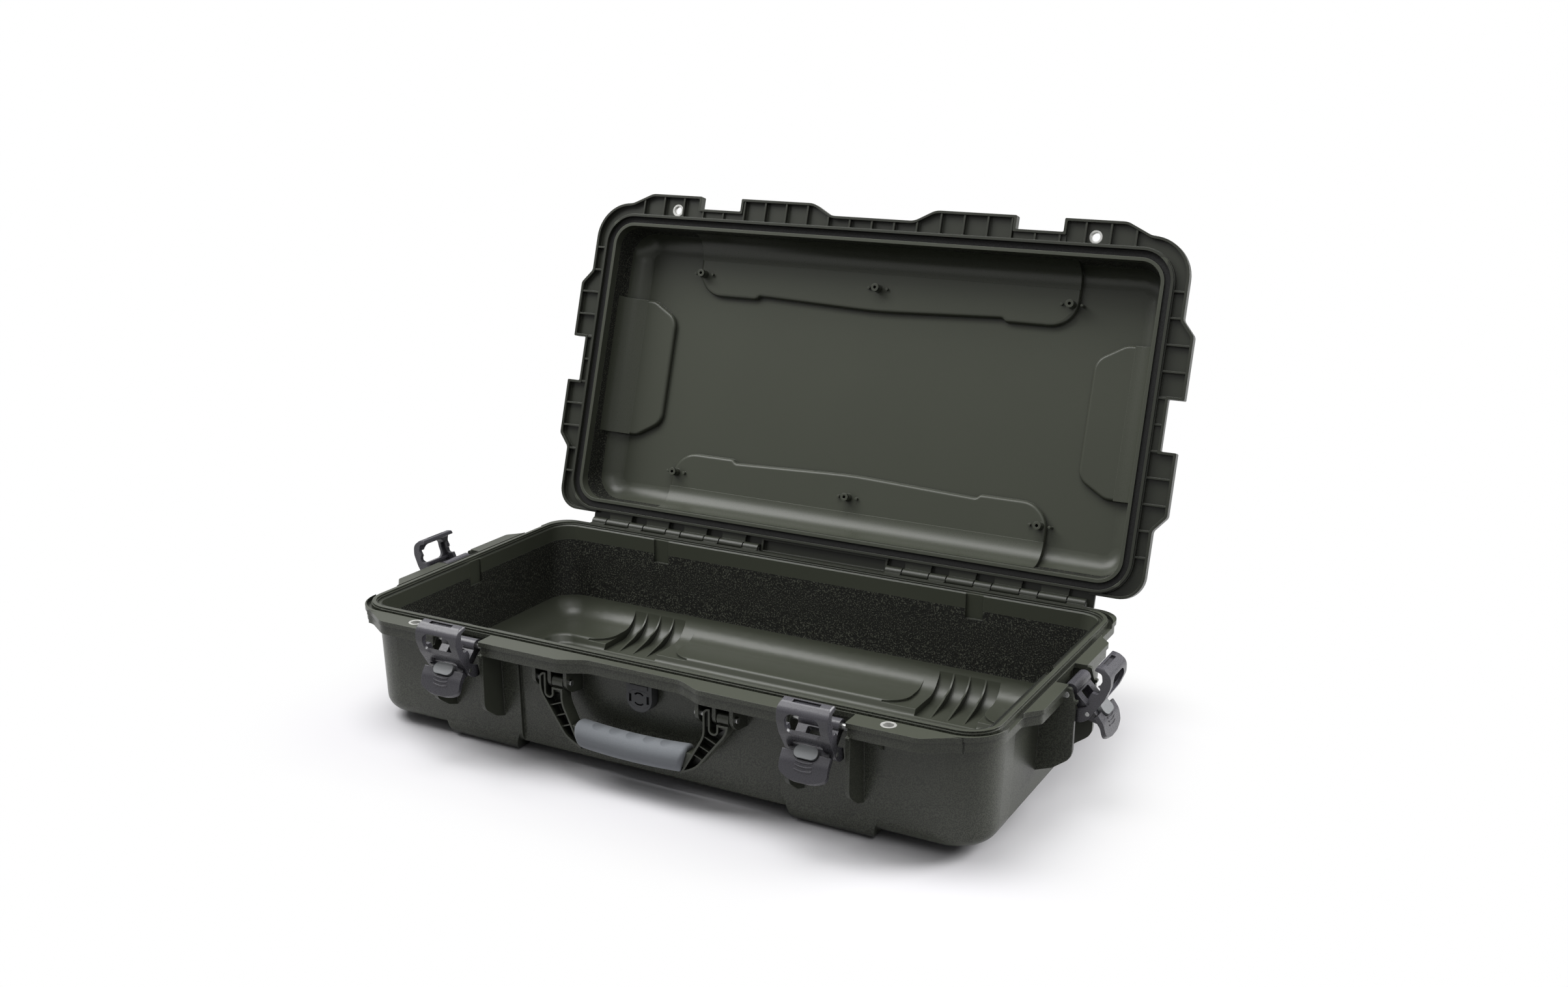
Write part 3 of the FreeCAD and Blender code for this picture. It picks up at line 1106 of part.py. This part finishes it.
def valve_cap():
    """Cover let into the valve plate, with two arc slots and two bar slots."""
    front = -HALF_W - VALVE_FRONT_REACH
    back = front + VALVE_CAP_THICK
    cap = along_y(valve_cap_outline(0), front, back)
    for side in (-1, 1):
        x0, x1 = sorted((side * VALVE_BAR_IN, side * VALVE_BAR_OUT))
        cap = cap.cut(block(x0, x1, front, back, VALVE_MID_W - VALVE_BAR_HALF_HIGH,
                            VALVE_MID_W + VALVE_BAR_HALF_HIGH))
        arc = Part.makeCylinder(VALVE_ARC_OUT, VALVE_CAP_THICK, ORIGIN, Vec(0, 0, 1), VALVE_ARC_SPAN)
        arc = arc.cut(rod(ORIGIN, Vec(0, 0, 1), VALVE_ARC_IN, VALVE_CAP_THICK))
        arc.rotate(ORIGIN, Vec(0, 0, 1), side * 90.0 - VALVE_ARC_SPAN / 2)
        arc.rotate(ORIGIN, Vec(1, 0, 0), 90)
        arc.translate(Vec(0, back, VALVE_MID_W))
        cap = cap.cut(arc)
    return cap


def valve_seal():
    inner = VALVE_PAD_REACH - VALVE_SEAL_THICK
    disc = valve_rod(VALVE_SEAL_RADIUS, inner, VALVE_PAD_REACH)
    return disc.cut(valve_rod(VALVE_STEM_RADIUS + SEAT_FIT, inner, VALVE_PAD_REACH))


def valve_nut():
    outer = VALVE_PAD_REACH - VALVE_SEAL_THICK
    inner = outer - VALVE_NUT_THICK
    corners = []
    for i in range(VALVE_NUT_SIDES):
        angle = 2 * math.pi * i / VALVE_NUT_SIDES
        x = VALVE_NUT_RADIUS * math.cos(angle)
        w = VALVE_MID_W + VALVE_NUT_RADIUS * math.sin(angle)
        corners.append((x, w, 0))
    nut = along_y(corners, -HALF_W - outer, -HALF_W - inner)
    return nut.cut(valve_rod(VALVE_STEM_RADIUS + SEAT_FIT, inner, outer))


def hinge_pins():
    length = hinge_group_end() - HINGE_START_X
    return Part.makeCompound([rod(Vec(start, HINGE_Y, -HINGE_DROP), Vec(1, 0, 0), HINGE_PIN_RADIUS, length)
                              for start in (-hinge_group_end(), HINGE_START_X)])


def lid_gasket():
    return ring(CHANNEL_IN + GASKET_SIDE_GAP, CHANNEL_OUT - GASKET_SIDE_GAP, GASKET_BOTTOM, CHANNEL_TOP)


def with_lid(shape):
    """Turns a piece of the lid to the open rest pose."""
    moved = shape.copy()
    moved.rotate(Vec(0, HINGE_Y, -HINGE_DROP), Vec(1, 0, 0), -LID_OPEN_ANGLE)
    return moved


def all_nodes():
    nodes = {
        "base_shell": base_shell(),
        "base_eyelets": eyelets(-FLANGE_THICK, 0, -FLANGE_THICK - EYELET_COLLAR),
        "hinge_pins": hinge_pins(),
        "handle_pins": Part.makeCompound(handle_rods(HANDLE_PIN_RADIUS)),
        "handle_frame": handle_frame(),
        "handle_grip": handle_grip(),
        "valve_body": valve_body(),
        "valve_cap": valve_cap(),
        "valve_seal": valve_seal(),
        "valve_nut": valve_nut(),
        "lid_shell": with_lid(lid_shell()),
        "lid_gasket": with_lid(lid_gasket()),
        "lid_eyelets": with_lid(eyelets(TRAY_BOTTOM, TRAY_TOP, TRAY_TOP))}
    pivot_half = GUARD_IN + GUARD_THICK
    pivot_pin = rod(Vec(PIVOT_U, -pivot_half, PIVOT_W), Vec(0, 1, 0), PIVOT_PIN_RADIUS, 2 * pivot_half)
    nodes["latch_pivot_pins"] = Part.makeCompound([placed(pivot_pin, x, y, turn)
                                                   for name, x, y, turn in LATCHES])
    latch_pieces = {
        "lever": with_lever(lever()),
        "slider": with_lever(slider()),
        "claw_pin": with_lever(claw_pin_rod(CLAW_PIN_RADIUS, CLAW_HALF)),
        "claw": with_claw(claw())}
    for name, x, y, turn in LATCHES:
        for piece, shape in latch_pieces.items():
            nodes["latch_" + name + "_" + piece] = placed(shape, x, y, turn)
    return nodes


os.makedirs("parts", exist_ok=True)
for node, shape in all_nodes().items():
    shape.translate(Vec(0, 0, RIM_HEIGHT))
    shape.exportStep("parts/" + node + ".step")
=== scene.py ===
import json
import math

import bpy
from mathutils import Matrix, Quaternion, Vector


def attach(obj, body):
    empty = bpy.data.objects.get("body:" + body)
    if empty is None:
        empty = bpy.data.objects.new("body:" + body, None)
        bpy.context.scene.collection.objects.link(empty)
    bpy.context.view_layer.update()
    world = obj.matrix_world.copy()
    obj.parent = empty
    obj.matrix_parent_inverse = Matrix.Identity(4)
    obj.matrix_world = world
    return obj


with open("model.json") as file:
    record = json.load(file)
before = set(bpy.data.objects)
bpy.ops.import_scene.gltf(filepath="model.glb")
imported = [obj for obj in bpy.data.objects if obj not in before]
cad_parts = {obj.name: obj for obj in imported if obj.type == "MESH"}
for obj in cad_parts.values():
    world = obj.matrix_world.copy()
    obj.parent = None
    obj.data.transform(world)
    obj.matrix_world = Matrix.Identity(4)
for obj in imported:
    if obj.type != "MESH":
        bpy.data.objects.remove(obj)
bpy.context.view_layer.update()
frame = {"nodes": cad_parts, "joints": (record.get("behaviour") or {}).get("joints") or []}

# Looks of an open hard case: finishes of every piece with painted edge highlights and painted shade in
# corners, gaps and at the rim, hollow rounds in the lid, floor, light and camera.
# Metres, +X along the front to the right, +Y to the back, +Z up, the floor at z = 0.

# Camera: angles in degrees, the focal length in pixels of the photograph
PHOTO_WIDTH = 2408
SENSOR_WIDTH = 36.0
FOCAL_PIXELS = 2491.418
CAMERA_AZIMUTH = 28.06
CAMERA_ELEVATION = 15.537
CAMERA_ROLL = 0.463
CAMERA_DISTANCE = 1.36304
CAMERA_TARGET = (0.03271, 0.02447, 0.20618)

# Lights: azimuth and elevation in degrees as for the camera, distance and size in metres, power in watts
LIGHTS = {
    "top": (-15, 80, 1.9, 1.1, 15.0),
    "key": (-68, 52, 2.0, 1.3, 24.0),
    "front": (40, 44, 2.2, 1.2, 4.0),
    "back_right": (122, 26, 1.9, 0.9, 24.0)}
LIGHT_TARGET = (0.0, 0.05, 0.12)

# Surroundings: plain level of the light, level of the horizon in reflections, and the heights (sines of the
# elevation) between which the horizon turns to a white ceiling
AMBIENT = 0.17
HORIZON = 0.35
CEILING_START = 0.05
CEILING_END = 0.75
WHITE = (1.0, 1.0, 1.0, 1.0)
BLACK = (0.0, 0.0, 0.0, 1.0)
SEEING_RAYS = ("Is Camera Ray", "Is Glossy Ray", "Is Transmission Ray")

# Floor: paper next to the case, which shows its shadow, turning to plain white over the fade
FLOOR_SIZE = 40.0
FLOOR_COLOUR = (0.90, 0.89, 0.92, 1.0)
FLOOR_FADE = 0.15
CASE_HALF_X = 0.255
CASE_HALF_Y = 0.145

# Lid: its joint, about which it turns from the open rest pose to closed
LID_JOINT = next(joint for joint in frame["joints"] if joint["name"] == "lid_hinge")
HINGE = Vector(LID_JOINT["pos_m"])
LID_CLOSE_ANGLE = LID_JOINT["range_deg"][1]

# Inner walls, and the rim that is darkened with painted shade; heights with the lid closed
INSIDE_HALF_X = 0.281
INSIDE_HALF_Y = 0.140
BASE_GRAIN_BAND = (0.033, 0.090)
LID_GRAIN_BAND = (0.114, 0.136)
RIM_START = 0.003
RIM_HEIGHT = 0.105
RIM_NEAR = 0.011
RIM_REACH = 0.020

# Hollow rounds between the raised panels of the lid and its walls; heights with the lid closed
PANEL_FACE = 0.143
LID_WALL_X = 0.2795
LID_WALL_Y = 0.1385
LONG_COVE_HALF = 0.1985
SIDE_COVE_HALF = 0.0695
COVE_REACH = 0.0235
COVE_DROP = 0.022
COVE_SINK = 0.0004
COVE_STEPS = 16
SHARP_ANGLE = 30.0

# Colours, as sRGB shares of 255
OLIVE = (73, 76, 66)
# painted highlight: paler colour put on the edges of the shell
OLIVE_EDGE_HIGHLIGHT = (128, 132, 120)
# painted shade: darker olive of the rim, its ribs and the hinge side
RIM_PAINTED_SHADE_OLIVE = (44, 46, 39)
GRAIN_DARK = (15, 16, 12)
GRAIN_LIGHT = (88, 90, 80)
FLECK_DARK = (36, 38, 31)
FLECK_LIGHT = (96, 99, 88)
# painted shade: the near black that corners and gaps are darkened towards
PAINTED_SHADE_BLACK = (9, 9, 8)
LATCH_GREY = (80, 79, 85)
# painted highlight: paler colour put on the edges of the latch and valve
LATCH_EDGE_HIGHLIGHT = (132, 130, 138)
SLIDER_GREY = (156, 159, 161)
GRIP_GREY = (136, 140, 145)
VALVE_GREY = (88, 89, 91)
RUBBER_BLACK = (15, 15, 15)
STEEL_GREY = (176, 177, 176)
EYELET_GREY = (214, 214, 210)

# Moulded finishes: colour, colour of the painted edge highlight, depth of the grain in metres, roughness from
# its smoothest to its roughest, gloss
SHELL = {"colour": OLIVE, "edge_highlight_colour": OLIVE_EDGE_HIGHLIGHT,
         "depth": 0.00003, "rough": (0.27, 0.37), "gloss": 0.38}
LATCH = {"colour": LATCH_GREY, "edge_highlight_colour": LATCH_EDGE_HIGHLIGHT,
         "depth": 0.00003, "rough": (0.24, 0.34), "gloss": 0.5}
SLIDER = {"colour": SLIDER_GREY, "edge_highlight_colour": SLIDER_GREY,
          "depth": 0.00004, "rough": (0.25, 0.38), "gloss": 0.3}
VALVE = {"colour": VALVE_GREY, "edge_highlight_colour": LATCH_EDGE_HIGHLIGHT,
         "depth": 0.00006, "rough": (0.38, 0.5), "gloss": 0.3}
RUBBER = {"depth": 0.0002, "rough": (0.62, 0.80), "gloss": 0.3, "edge_highlight_share": 0.0}
RUBBER_SHEEN = 0.15

# Steel finishes: share of metal, roughness from the smoothest to the roughest
PIN_STEEL = {"colour": STEEL_GREY, "metal": 1.0, "rough": (0.22, 0.40)}
EYELET_STEEL = {"colour": EYELET_GREY, "metal": 0.45, "rough": (0.40, 0.55)}
SCRATCH_SIZE = 0.0004
SCRATCH_STRETCH = (0.08, 1.0, 1.0)
SCRATCH_DETAIL = 3.0
SCRATCH_SHADE = 0.7
SCRATCH_DEPTH = 0.00003
SCRATCH_STRENGTH = 0.4

# Fine grain of moulded plastic, and slow changes of its tone as shares of the colour
GRAIN_SIZE = 0.0009
GRAIN_DETAIL = 2.0
GRAIN_SHARE = 0.5
GRAIN_STRENGTH = 0.6
NOISE_LOW = 0.3
NOISE_HIGH = 0.7
PATCH_SIZE = 0.09
PATCH_DETAIL = 3.0
PATCH_GAIN = 0.6
PATCH_START = 0.5
TONE_DARK = 0.86
TONE_LIGHT = 1.12

# Coarse grain of the inner walls and flecks of the outer ones, over ranges of the noise
COARSE_SIZE = 0.0012
COARSE_RANGE = (0.52, 0.66)
COARSE_HEIGHT = 3.0
FINE_HEIGHT = 0.1
COARSE_DEPTH = 0.0003
COARSE_STRENGTH = 0.7
PLAIN_ROUGH = 0.33
COARSE_ROUGH = 0.6
FLECK_RANGE = (0.40, 0.60)
FLECK_SHARE = 0.6
RIM_PAINTED_SHADE_SHARE = 0.8
WALL_SLOPE = 0.5

# Edges are rounded, and paler as a painted highlight: radius, and cosines of the turn of the face where this
# starts and ends
EDGE_RADIUS = 0.0007
EDGE_START = 0.97
EDGE_END = 0.80
EDGE_HIGHLIGHT_SHARE = 0.5

# Painted shade darkens corners and gaps: reach around a point, and the open shares where this starts and ends
PAINTED_SHADE_REACH = 0.016
PAINTED_SHADE_START = 0.80
PAINTED_SHADE_END = 0.25
PAINTED_SHADE_SHARE = 0.8
FEW_SAMPLES = 4


def linear(colour, level=1.0):
    """Linear RGBA of an sRGB colour given in shares of 255, times a level."""
    parts = []
    for value in colour:
        share = value / 255
        parts.append(level * (share / 12.92 if share <= 0.04045 else ((share + 0.055) / 1.055) ** 2.4))
    return (*parts, 1.0)


class Graph:
    """A tree of shader nodes, with helpers that add nodes to it."""

    def __init__(self, tree):
        self.tree = tree

    def add(self, kind, **settings):
        node = self.tree.nodes.new(kind)
        for name, value in settings.items():
            setattr(node, name, value)
        return node

    def feed(self, socket, source):
        """Links a socket to another node's output, or sets it to a constant."""
        if isinstance(source, bpy.types.NodeSocket):
            self.tree.links.new(source, socket)
        else:
            socket.default_value = source

    def calc(self, operation, *values, clamp=False):
        """Result of a Math node for the given values."""
        node = self.add("ShaderNodeMath", operation=operation, use_clamp=clamp)
        for socket, value in zip(node.inputs, values):
            self.feed(socket, value)
        return node.outputs[0]

    def product(self, *values):
        result = values[0]
        for value in values[1:]:
            result = self.calc("MULTIPLY", result, value)
        return result

    def absolute(self, value):
        return self.calc("ABSOLUTE", value)

    def spread(self, source, low, high, to_low=0.0, to_high=1.0):
        """Maps a value from one range to another, smoothly and clamped."""
        node = self.add("ShaderNodeMapRange", interpolation_type="SMOOTHSTEP")
        for socket, value in zip(node.inputs, (source, low, high, to_low, to_high)):
            self.feed(socket, value)
        return node.outputs[0]

    def blend(self, share, first, second):
        """Colour between two colours."""
        node = self.add("ShaderNodeMix", data_type="RGBA")
        self.feed(node.inputs["Factor"], share)
        self.feed(node.inputs["A"], first)
        self.feed(node.inputs["B"], second)
        return node.outputs["Result"]

    def axes(self, source):
        """X, Y and Z of a vector."""
        node = self.add("ShaderNodeSeparateXYZ")
        self.feed(node.inputs[0], source)
        return node.outputs


class Finish(Graph):
    """A material with its Principled shader."""

    def __init__(self, name):
        self.material = bpy.data.materials.new(name)
        self.material.use_nodes = True
        super().__init__(self.material.node_tree)
        self.surface = self.tree.nodes["Principled BSDF"]
        texture = self.add("ShaderNodeTexCoord")
        self.place = texture.outputs["Object"]
        self.facing = texture.outputs["Normal"]

    def shade(self, **values):
        """Sets inputs of the Principled shader by name, with _ for each space."""
        for name, value in values.items():
            self.feed(self.surface.inputs[name.replace("_", " ")], value)

    def noise(self, size, detail, place=None):
        node = self.add("ShaderNodeTexNoise")
        self.feed(node.inputs["Vector"], place or self.place)
        self.feed(node.inputs["Scale"], 1.0 / size)
        self.feed(node.inputs["Detail"], detail)
        return node.outputs["Fac"]

    def soft_edges(self):
        """Normal rounded over the edges, and the share of each point that is an edge."""
        bevel = self.add("ShaderNodeBevel", samples=FEW_SAMPLES)
        self.feed(bevel.inputs["Radius"], EDGE_RADIUS)
        dot = self.add("ShaderNodeVectorMath", operation="DOT_PRODUCT")
        self.feed(dot.inputs[0], bevel.outputs["Normal"])
        self.feed(dot.inputs[1], self.add("ShaderNodeNewGeometry").outputs["Normal"])
        return bevel.outputs["Normal"], self.spread(dot.outputs["Value"], EDGE_START, EDGE_END)

    def painted_shade_share(self):
        """Share of each point that lies in a corner or a gap, darkened there as painted shade."""
        node = self.add("ShaderNodeAmbientOcclusion", samples=FEW_SAMPLES)
        self.feed(node.inputs["Distance"], PAINTED_SHADE_REACH)
        closed = self.spread(node.outputs["AO"], PAINTED_SHADE_START, PAINTED_SHADE_END)
        return self.calc("MULTIPLY", closed, PAINTED_SHADE_SHARE)

    def turned(self, source, middle, angle):
        """A place or direction turned about the X axis through a point, by an angle in degrees."""
        node = self.add("ShaderNodeVectorRotate", rotation_type="X_AXIS")
        self.feed(node.inputs["Vector"], source)
        self.feed(node.inputs["Center"], middle)
        self.feed(node.inputs["Angle"], math.radians(angle))
        return node.outputs["Vector"]

    def relief(self, height, depth, strength, normal):
        """Normal of a surface raised by a height times a depth."""
        node = self.add("ShaderNodeBump")
        self.feed(node.inputs["Height"], height)
        self.feed(node.inputs["Distance"], depth)
        self.feed(node.inputs["Strength"], strength)
        self.feed(node.inputs["Normal"], normal)
        return node.outputs["Normal"]


def plastic(name, colour, edge_highlight_colour, depth, rough, gloss, edge_highlight_share=EDGE_HIGHLIGHT_SHARE):
    """Moulded plastic: grain, slow colour change, edges paler as a painted highlight, and gaps darker as
    painted shade.
    """
    finish = Finish(name)
    finish.normal, edge = finish.soft_edges()
    finish.grain = finish.noise(GRAIN_SIZE, GRAIN_DETAIL)
    patch = finish.noise(PATCH_SIZE, PATCH_DETAIL)
    dark = linear(colour, TONE_DARK)
    tone = finish.blend(finish.calc("MULTIPLY_ADD", patch, PATCH_GAIN, PATCH_START, clamp=True),
                        dark, linear(colour, TONE_LIGHT))
    tone = finish.blend(finish.calc("MULTIPLY", finish.grain, GRAIN_SHARE), tone, dark)
    # painted highlight: edges turned paler
    tone = finish.blend(finish.calc("MULTIPLY", edge, edge_highlight_share), tone, linear(edge_highlight_colour))
    # painted shade: corners and gaps darkened towards near black
    finish.tone = finish.blend(finish.painted_shade_share(), tone, linear(PAINTED_SHADE_BLACK))
    finish.shade(Base_Color=finish.tone, Roughness=finish.spread(finish.grain, NOISE_LOW, NOISE_HIGH, *rough),
                 Specular_IOR_Level=gloss,
                 Normal=finish.relief(finish.grain, depth, GRAIN_STRENGTH, finish.normal))
    return finish


def shell_zones(finish, band, close_angle, shaded_rim_sides):
    """Shares of coarse inner wall, outer wall and rim darkened with painted shade, found with the case
    closed.
    """
    x, y, z = finish.axes(finish.turned(finish.place, HINGE, close_angle))
    face_x, face_y, face_z = finish.axes(finish.turned(finish.facing, (0, 0, 0), close_angle))
    outward = finish.calc("ADD", finish.product(x, face_x), finish.product(y, face_y))
    upright = finish.calc("LESS_THAN", finish.absolute(face_z), WALL_SLOPE)
    low, high = band
    coarse = finish.product(
        upright,
        finish.calc("LESS_THAN", finish.absolute(x), INSIDE_HALF_X),
        finish.calc("LESS_THAN", finish.absolute(y), INSIDE_HALF_Y),
        finish.calc("LESS_THAN", outward, 0.0),
        finish.calc("GREATER_THAN", z, low),
        finish.calc("LESS_THAN", z, high))
    outer = finish.product(upright, finish.calc("GREATER_THAN", outward, 0.0))
    outside = {
        "ends": finish.calc("GREATER_THAN", finish.absolute(x), INSIDE_HALF_X + RIM_START),
        "front": finish.calc("LESS_THAN", y, -INSIDE_HALF_Y - RIM_START),
        "back": finish.calc("GREATER_THAN", y, INSIDE_HALF_Y + RIM_START)}
    beyond = 0.0
    for side in shaded_rim_sides:
        beyond = finish.calc("MAXIMUM", outside[side], beyond)
    from_rim = finish.absolute(finish.calc("SUBTRACT", z, RIM_HEIGHT))
    return coarse, outer, finish.product(beyond, finish.spread(from_rim, RIM_REACH, RIM_NEAR))


def shell(name, band, close_angle, shaded_rim_sides):
    """Shell plastic, coarse in a band of heights of the inner walls, flecked outside, with painted shade at
    the rim.
    """
    finish = plastic(name, **SHELL)
    coarse, outer, rim = shell_zones(finish, band, close_angle, shaded_rim_sides)
    speck = finish.noise(COARSE_SIZE, GRAIN_DETAIL)
    speck_tone = finish.blend(finish.spread(speck, *COARSE_RANGE), linear(GRAIN_DARK), linear(GRAIN_LIGHT))
    fleck = finish.spread(finish.grain, *FLECK_RANGE)
    fleck_tone = finish.blend(fleck, linear(FLECK_DARK), linear(FLECK_LIGHT))
    tone = finish.blend(finish.calc("MULTIPLY", outer, FLECK_SHARE), finish.tone, fleck_tone)
    # painted shade: the rim darkened
    tone = finish.blend(finish.calc("MULTIPLY", rim, RIM_PAINTED_SHADE_SHARE), tone, linear(RIM_PAINTED_SHADE_OLIVE))
    height = finish.calc("ADD", finish.calc("MULTIPLY", finish.grain, FINE_HEIGHT),
                         finish.product(speck, coarse, COARSE_HEIGHT))
    finish.shade(Base_Color=finish.blend(coarse, tone, speck_tone),
                 Roughness=finish.spread(coarse, 0.0, 1.0, PLAIN_ROUGH, COARSE_ROUGH),
                 Normal=finish.relief(height, COARSE_DEPTH, COARSE_STRENGTH, finish.normal))
    return finish


def rubber(name, colour):
    finish = plastic(name, colour, colour, **RUBBER)
    finish.shade(Sheen_Weight=RUBBER_SHEEN)
    return finish


def steel(name, colour, metal, rough):
    """Drawn steel with fine scratches."""
    finish = Finish(name)
    normal = finish.soft_edges()[0]
    stretch = finish.add("ShaderNodeMapping")
    finish.feed(stretch.inputs["Vector"], finish.place)
    finish.feed(stretch.inputs["Scale"], SCRATCH_STRETCH)
    scratch = finish.noise(SCRATCH_SIZE, SCRATCH_DETAIL, stretch.outputs["Vector"])
    finish.shade(Base_Color=finish.blend(scratch, linear(colour, SCRATCH_SHADE), linear(colour)),
                 Metallic=metal,
                 Roughness=finish.spread(scratch, NOISE_LOW, NOISE_HIGH, *rough),
                 Normal=finish.relief(scratch, SCRATCH_DEPTH, SCRATCH_STRENGTH, normal))
    return finish


def dress_nodes():
    """Gives each node the finish that belongs to the end of its name."""
    latch = plastic("latch_plastic", **LATCH)
    valve = plastic("valve_plastic", **VALVE)
    pin = steel("pin_steel", **PIN_STEEL)
    finishes = {
        "base_shell": shell("base_plastic", BASE_GRAIN_BAND, 0, ("back",)),
        "lid_shell": shell("lid_plastic", LID_GRAIN_BAND, LID_CLOSE_ANGLE, ("ends", "front", "back")),
        "frame": plastic("handle_plastic", **SHELL),
        "grip": rubber("grip_rubber", GRIP_GREY),
        "gasket": rubber("gasket_rubber", RUBBER_BLACK),
        "seal": rubber("seal_rubber", RUBBER_BLACK),
        "slider": plastic("slider_plastic", **SLIDER),
        "lever": latch,
        "claw": latch,
        "body": valve,
        "cap": valve,
        "nut": valve,
        "pin": pin,
        "pins": pin,
        "eyelets": steel("eyelet_steel", **EYELET_STEEL)}
    for name, node in frame["nodes"].items():
        ending = next(ending for ending in finishes if name.endswith(ending))
        node.data.materials.clear()
        node.data.materials.append(finishes[ending].material)


def cove_section(wall):
    """Outline of a hollow round against a wall: places across the wall and heights."""
    top = PANEL_FACE - COVE_DROP
    section = [(wall + COVE_SINK, PANEL_FACE + COVE_SINK), (wall + COVE_SINK, top)]
    for step in range(COVE_STEPS + 1):
        angle = math.pi / 2 * (1 - step / COVE_STEPS)
        section.append((wall - COVE_REACH + COVE_REACH * math.sin(angle), top + COVE_DROP * math.cos(angle)))
    section.append((wall - COVE_REACH, PANEL_FACE + COVE_SINK))
    return section


def add_cove(name, half, wall, turn, material):
    """Prism with a hollow round side, along one wall of the lid, turned about the middle by degrees."""
    section = cove_section(wall)
    count = len(section)
    spin = Matrix.Rotation(math.radians(turn), 4, "Z")
    hinge = Matrix.Translation(HINGE)
    opened = hinge @ Matrix.Rotation(math.radians(-LID_CLOSE_ANGLE), 4, "X") @ hinge.inverted() @ spin
    points = [opened @ Vector((x, y, z)) for x in (-half, half) for y, z in section]
    sides = [(i, (i + 1) % count, count + (i + 1) % count, count + i) for i in range(count)]
    ends = [tuple(reversed(range(count))), tuple(range(count, 2 * count))]
    mesh = bpy.data.meshes.new(name)
    mesh.from_pydata(points, [], sides + ends)
    mesh.shade_smooth()
    mesh.set_sharp_from_angle(angle=math.radians(SHARP_ANGLE))
    mesh.materials.append(material)
    cove = bpy.data.objects.new(name, mesh)
    bpy.context.scene.collection.objects.link(cove)
    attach(cove, "lid")


def add_coves():
    material = plastic("cove_plastic", **SHELL).material
    for name, half, wall, turn in (("lid_cove_back", LONG_COVE_HALF, LID_WALL_Y, 0),
                                   ("lid_cove_left", SIDE_COVE_HALF, LID_WALL_X, 90),
                                   ("lid_cove_front", LONG_COVE_HALF, LID_WALL_Y, 180),
                                   ("lid_cove_right", SIDE_COVE_HALF, LID_WALL_X, 270)):
        add_cove(name, half, wall, turn, material)


def toward(azimuth, elevation):
    """Unit vector from the object out to a direction given in degrees."""
    a, e = math.radians(azimuth), math.radians(elevation)
    return Vector((math.sin(a) * math.cos(e), -math.cos(a) * math.cos(e), math.sin(e)))


def add_lights():
    for name, (azimuth, elevation, distance, size, power) in LIGHTS.items():
        lamp = bpy.data.lights.new(name, "AREA")
        lamp.shape = "DISK"
        lamp.size = size
        lamp.energy = power
        light = bpy.data.objects.new(name, lamp)
        bpy.context.scene.collection.objects.link(light)
        out = toward(azimuth, elevation)
        light.location = Vector(LIGHT_TARGET) + out * distance
        light.rotation_mode = "QUATERNION"
        light.rotation_quaternion = (-out).to_track_quat("-Z", "Y")


def add_world():
    """White to the camera; reflections see a bright ceiling over a softer horizon, the rest a plain level."""
    world = bpy.data.worlds.new("studio")
    bpy.context.scene.world = world
    world.use_nodes = True
    sky = Graph(world.node_tree)
    path = sky.add("ShaderNodeLightPath").outputs
    height = sky.axes(sky.add("ShaderNodeTexCoord").outputs["Generated"])[2]
    ceiling = sky.spread(height, CEILING_START, CEILING_END, HORIZON, 1.0)
    level = sky.spread(path["Is Glossy Ray"], 0.0, 1.0, AMBIENT, 1.0)
    seen = sky.calc("MAXIMUM", path["Is Camera Ray"], path["Is Transmission Ray"])
    background = world.node_tree.nodes["Background"].inputs
    sky.feed(background["Color"], WHITE)
    sky.feed(background["Strength"], sky.calc("MAXIMUM", seen, sky.product(ceiling, level)))


def floor_finish():
    """Paper that shows the shadow next to the case and turns to plain white away from it."""
    finish = Finish("floor_paper")
    path = finish.add("ShaderNodeLightPath").outputs
    seen = 0.0
    for ray in SEEING_RAYS:
        seen = finish.calc("MAXIMUM", path[ray], seen)
    squares = []
    for place, half in zip(finish.axes(finish.place), (CASE_HALF_X, CASE_HALF_Y)):
        past = finish.calc("MAXIMUM", finish.calc("SUBTRACT", finish.absolute(place), half), 0.0)
        squares.append(finish.product(past, past))
    far = finish.spread(finish.calc("SQRT", finish.calc("ADD", *squares)), 0.0, FLOOR_FADE)
    finish.shade(Base_Color=finish.blend(far, FLOOR_COLOUR, BLACK), Roughness=1.0, Specular_IOR_Level=0.0,
                 Emission_Color=WHITE, Emission_Strength=finish.product(seen, far))
    return finish


def add_floor():
    half = FLOOR_SIZE / 2
    mesh = bpy.data.meshes.new("floor")
    mesh.from_pydata([(-half, -half, 0), (half, -half, 0), (half, half, 0), (-half, half, 0)], [],
                     [(0, 1, 2, 3)])
    mesh.materials.append(floor_finish().material)
    floor = bpy.data.objects.new("floor", mesh)
    bpy.context.scene.collection.objects.link(floor)


def add_camera():
    data = bpy.data.cameras.new("camera")
    data.sensor_width = SENSOR_WIDTH
    data.lens = FOCAL_PIXELS / PHOTO_WIDTH * SENSOR_WIDTH
    camera = bpy.data.objects.new("camera", data)
    bpy.context.scene.collection.objects.link(camera)
    back = toward(CAMERA_AZIMUTH, CAMERA_ELEVATION)
    camera.location = Vector(CAMERA_TARGET) + back * CAMERA_DISTANCE
    camera.rotation_mode = "QUATERNION"
    roll = Quaternion((0, 0, 1), math.radians(CAMERA_ROLL))
    camera.rotation_quaternion = (-back).to_track_quat("-Z", "Y") @ roll
    bpy.context.scene.camera = camera


bpy.context.scene.view_settings.view_transform = "Standard"
dress_nodes()
add_coves()
add_floor()
add_world()
add_lights()
add_camera()
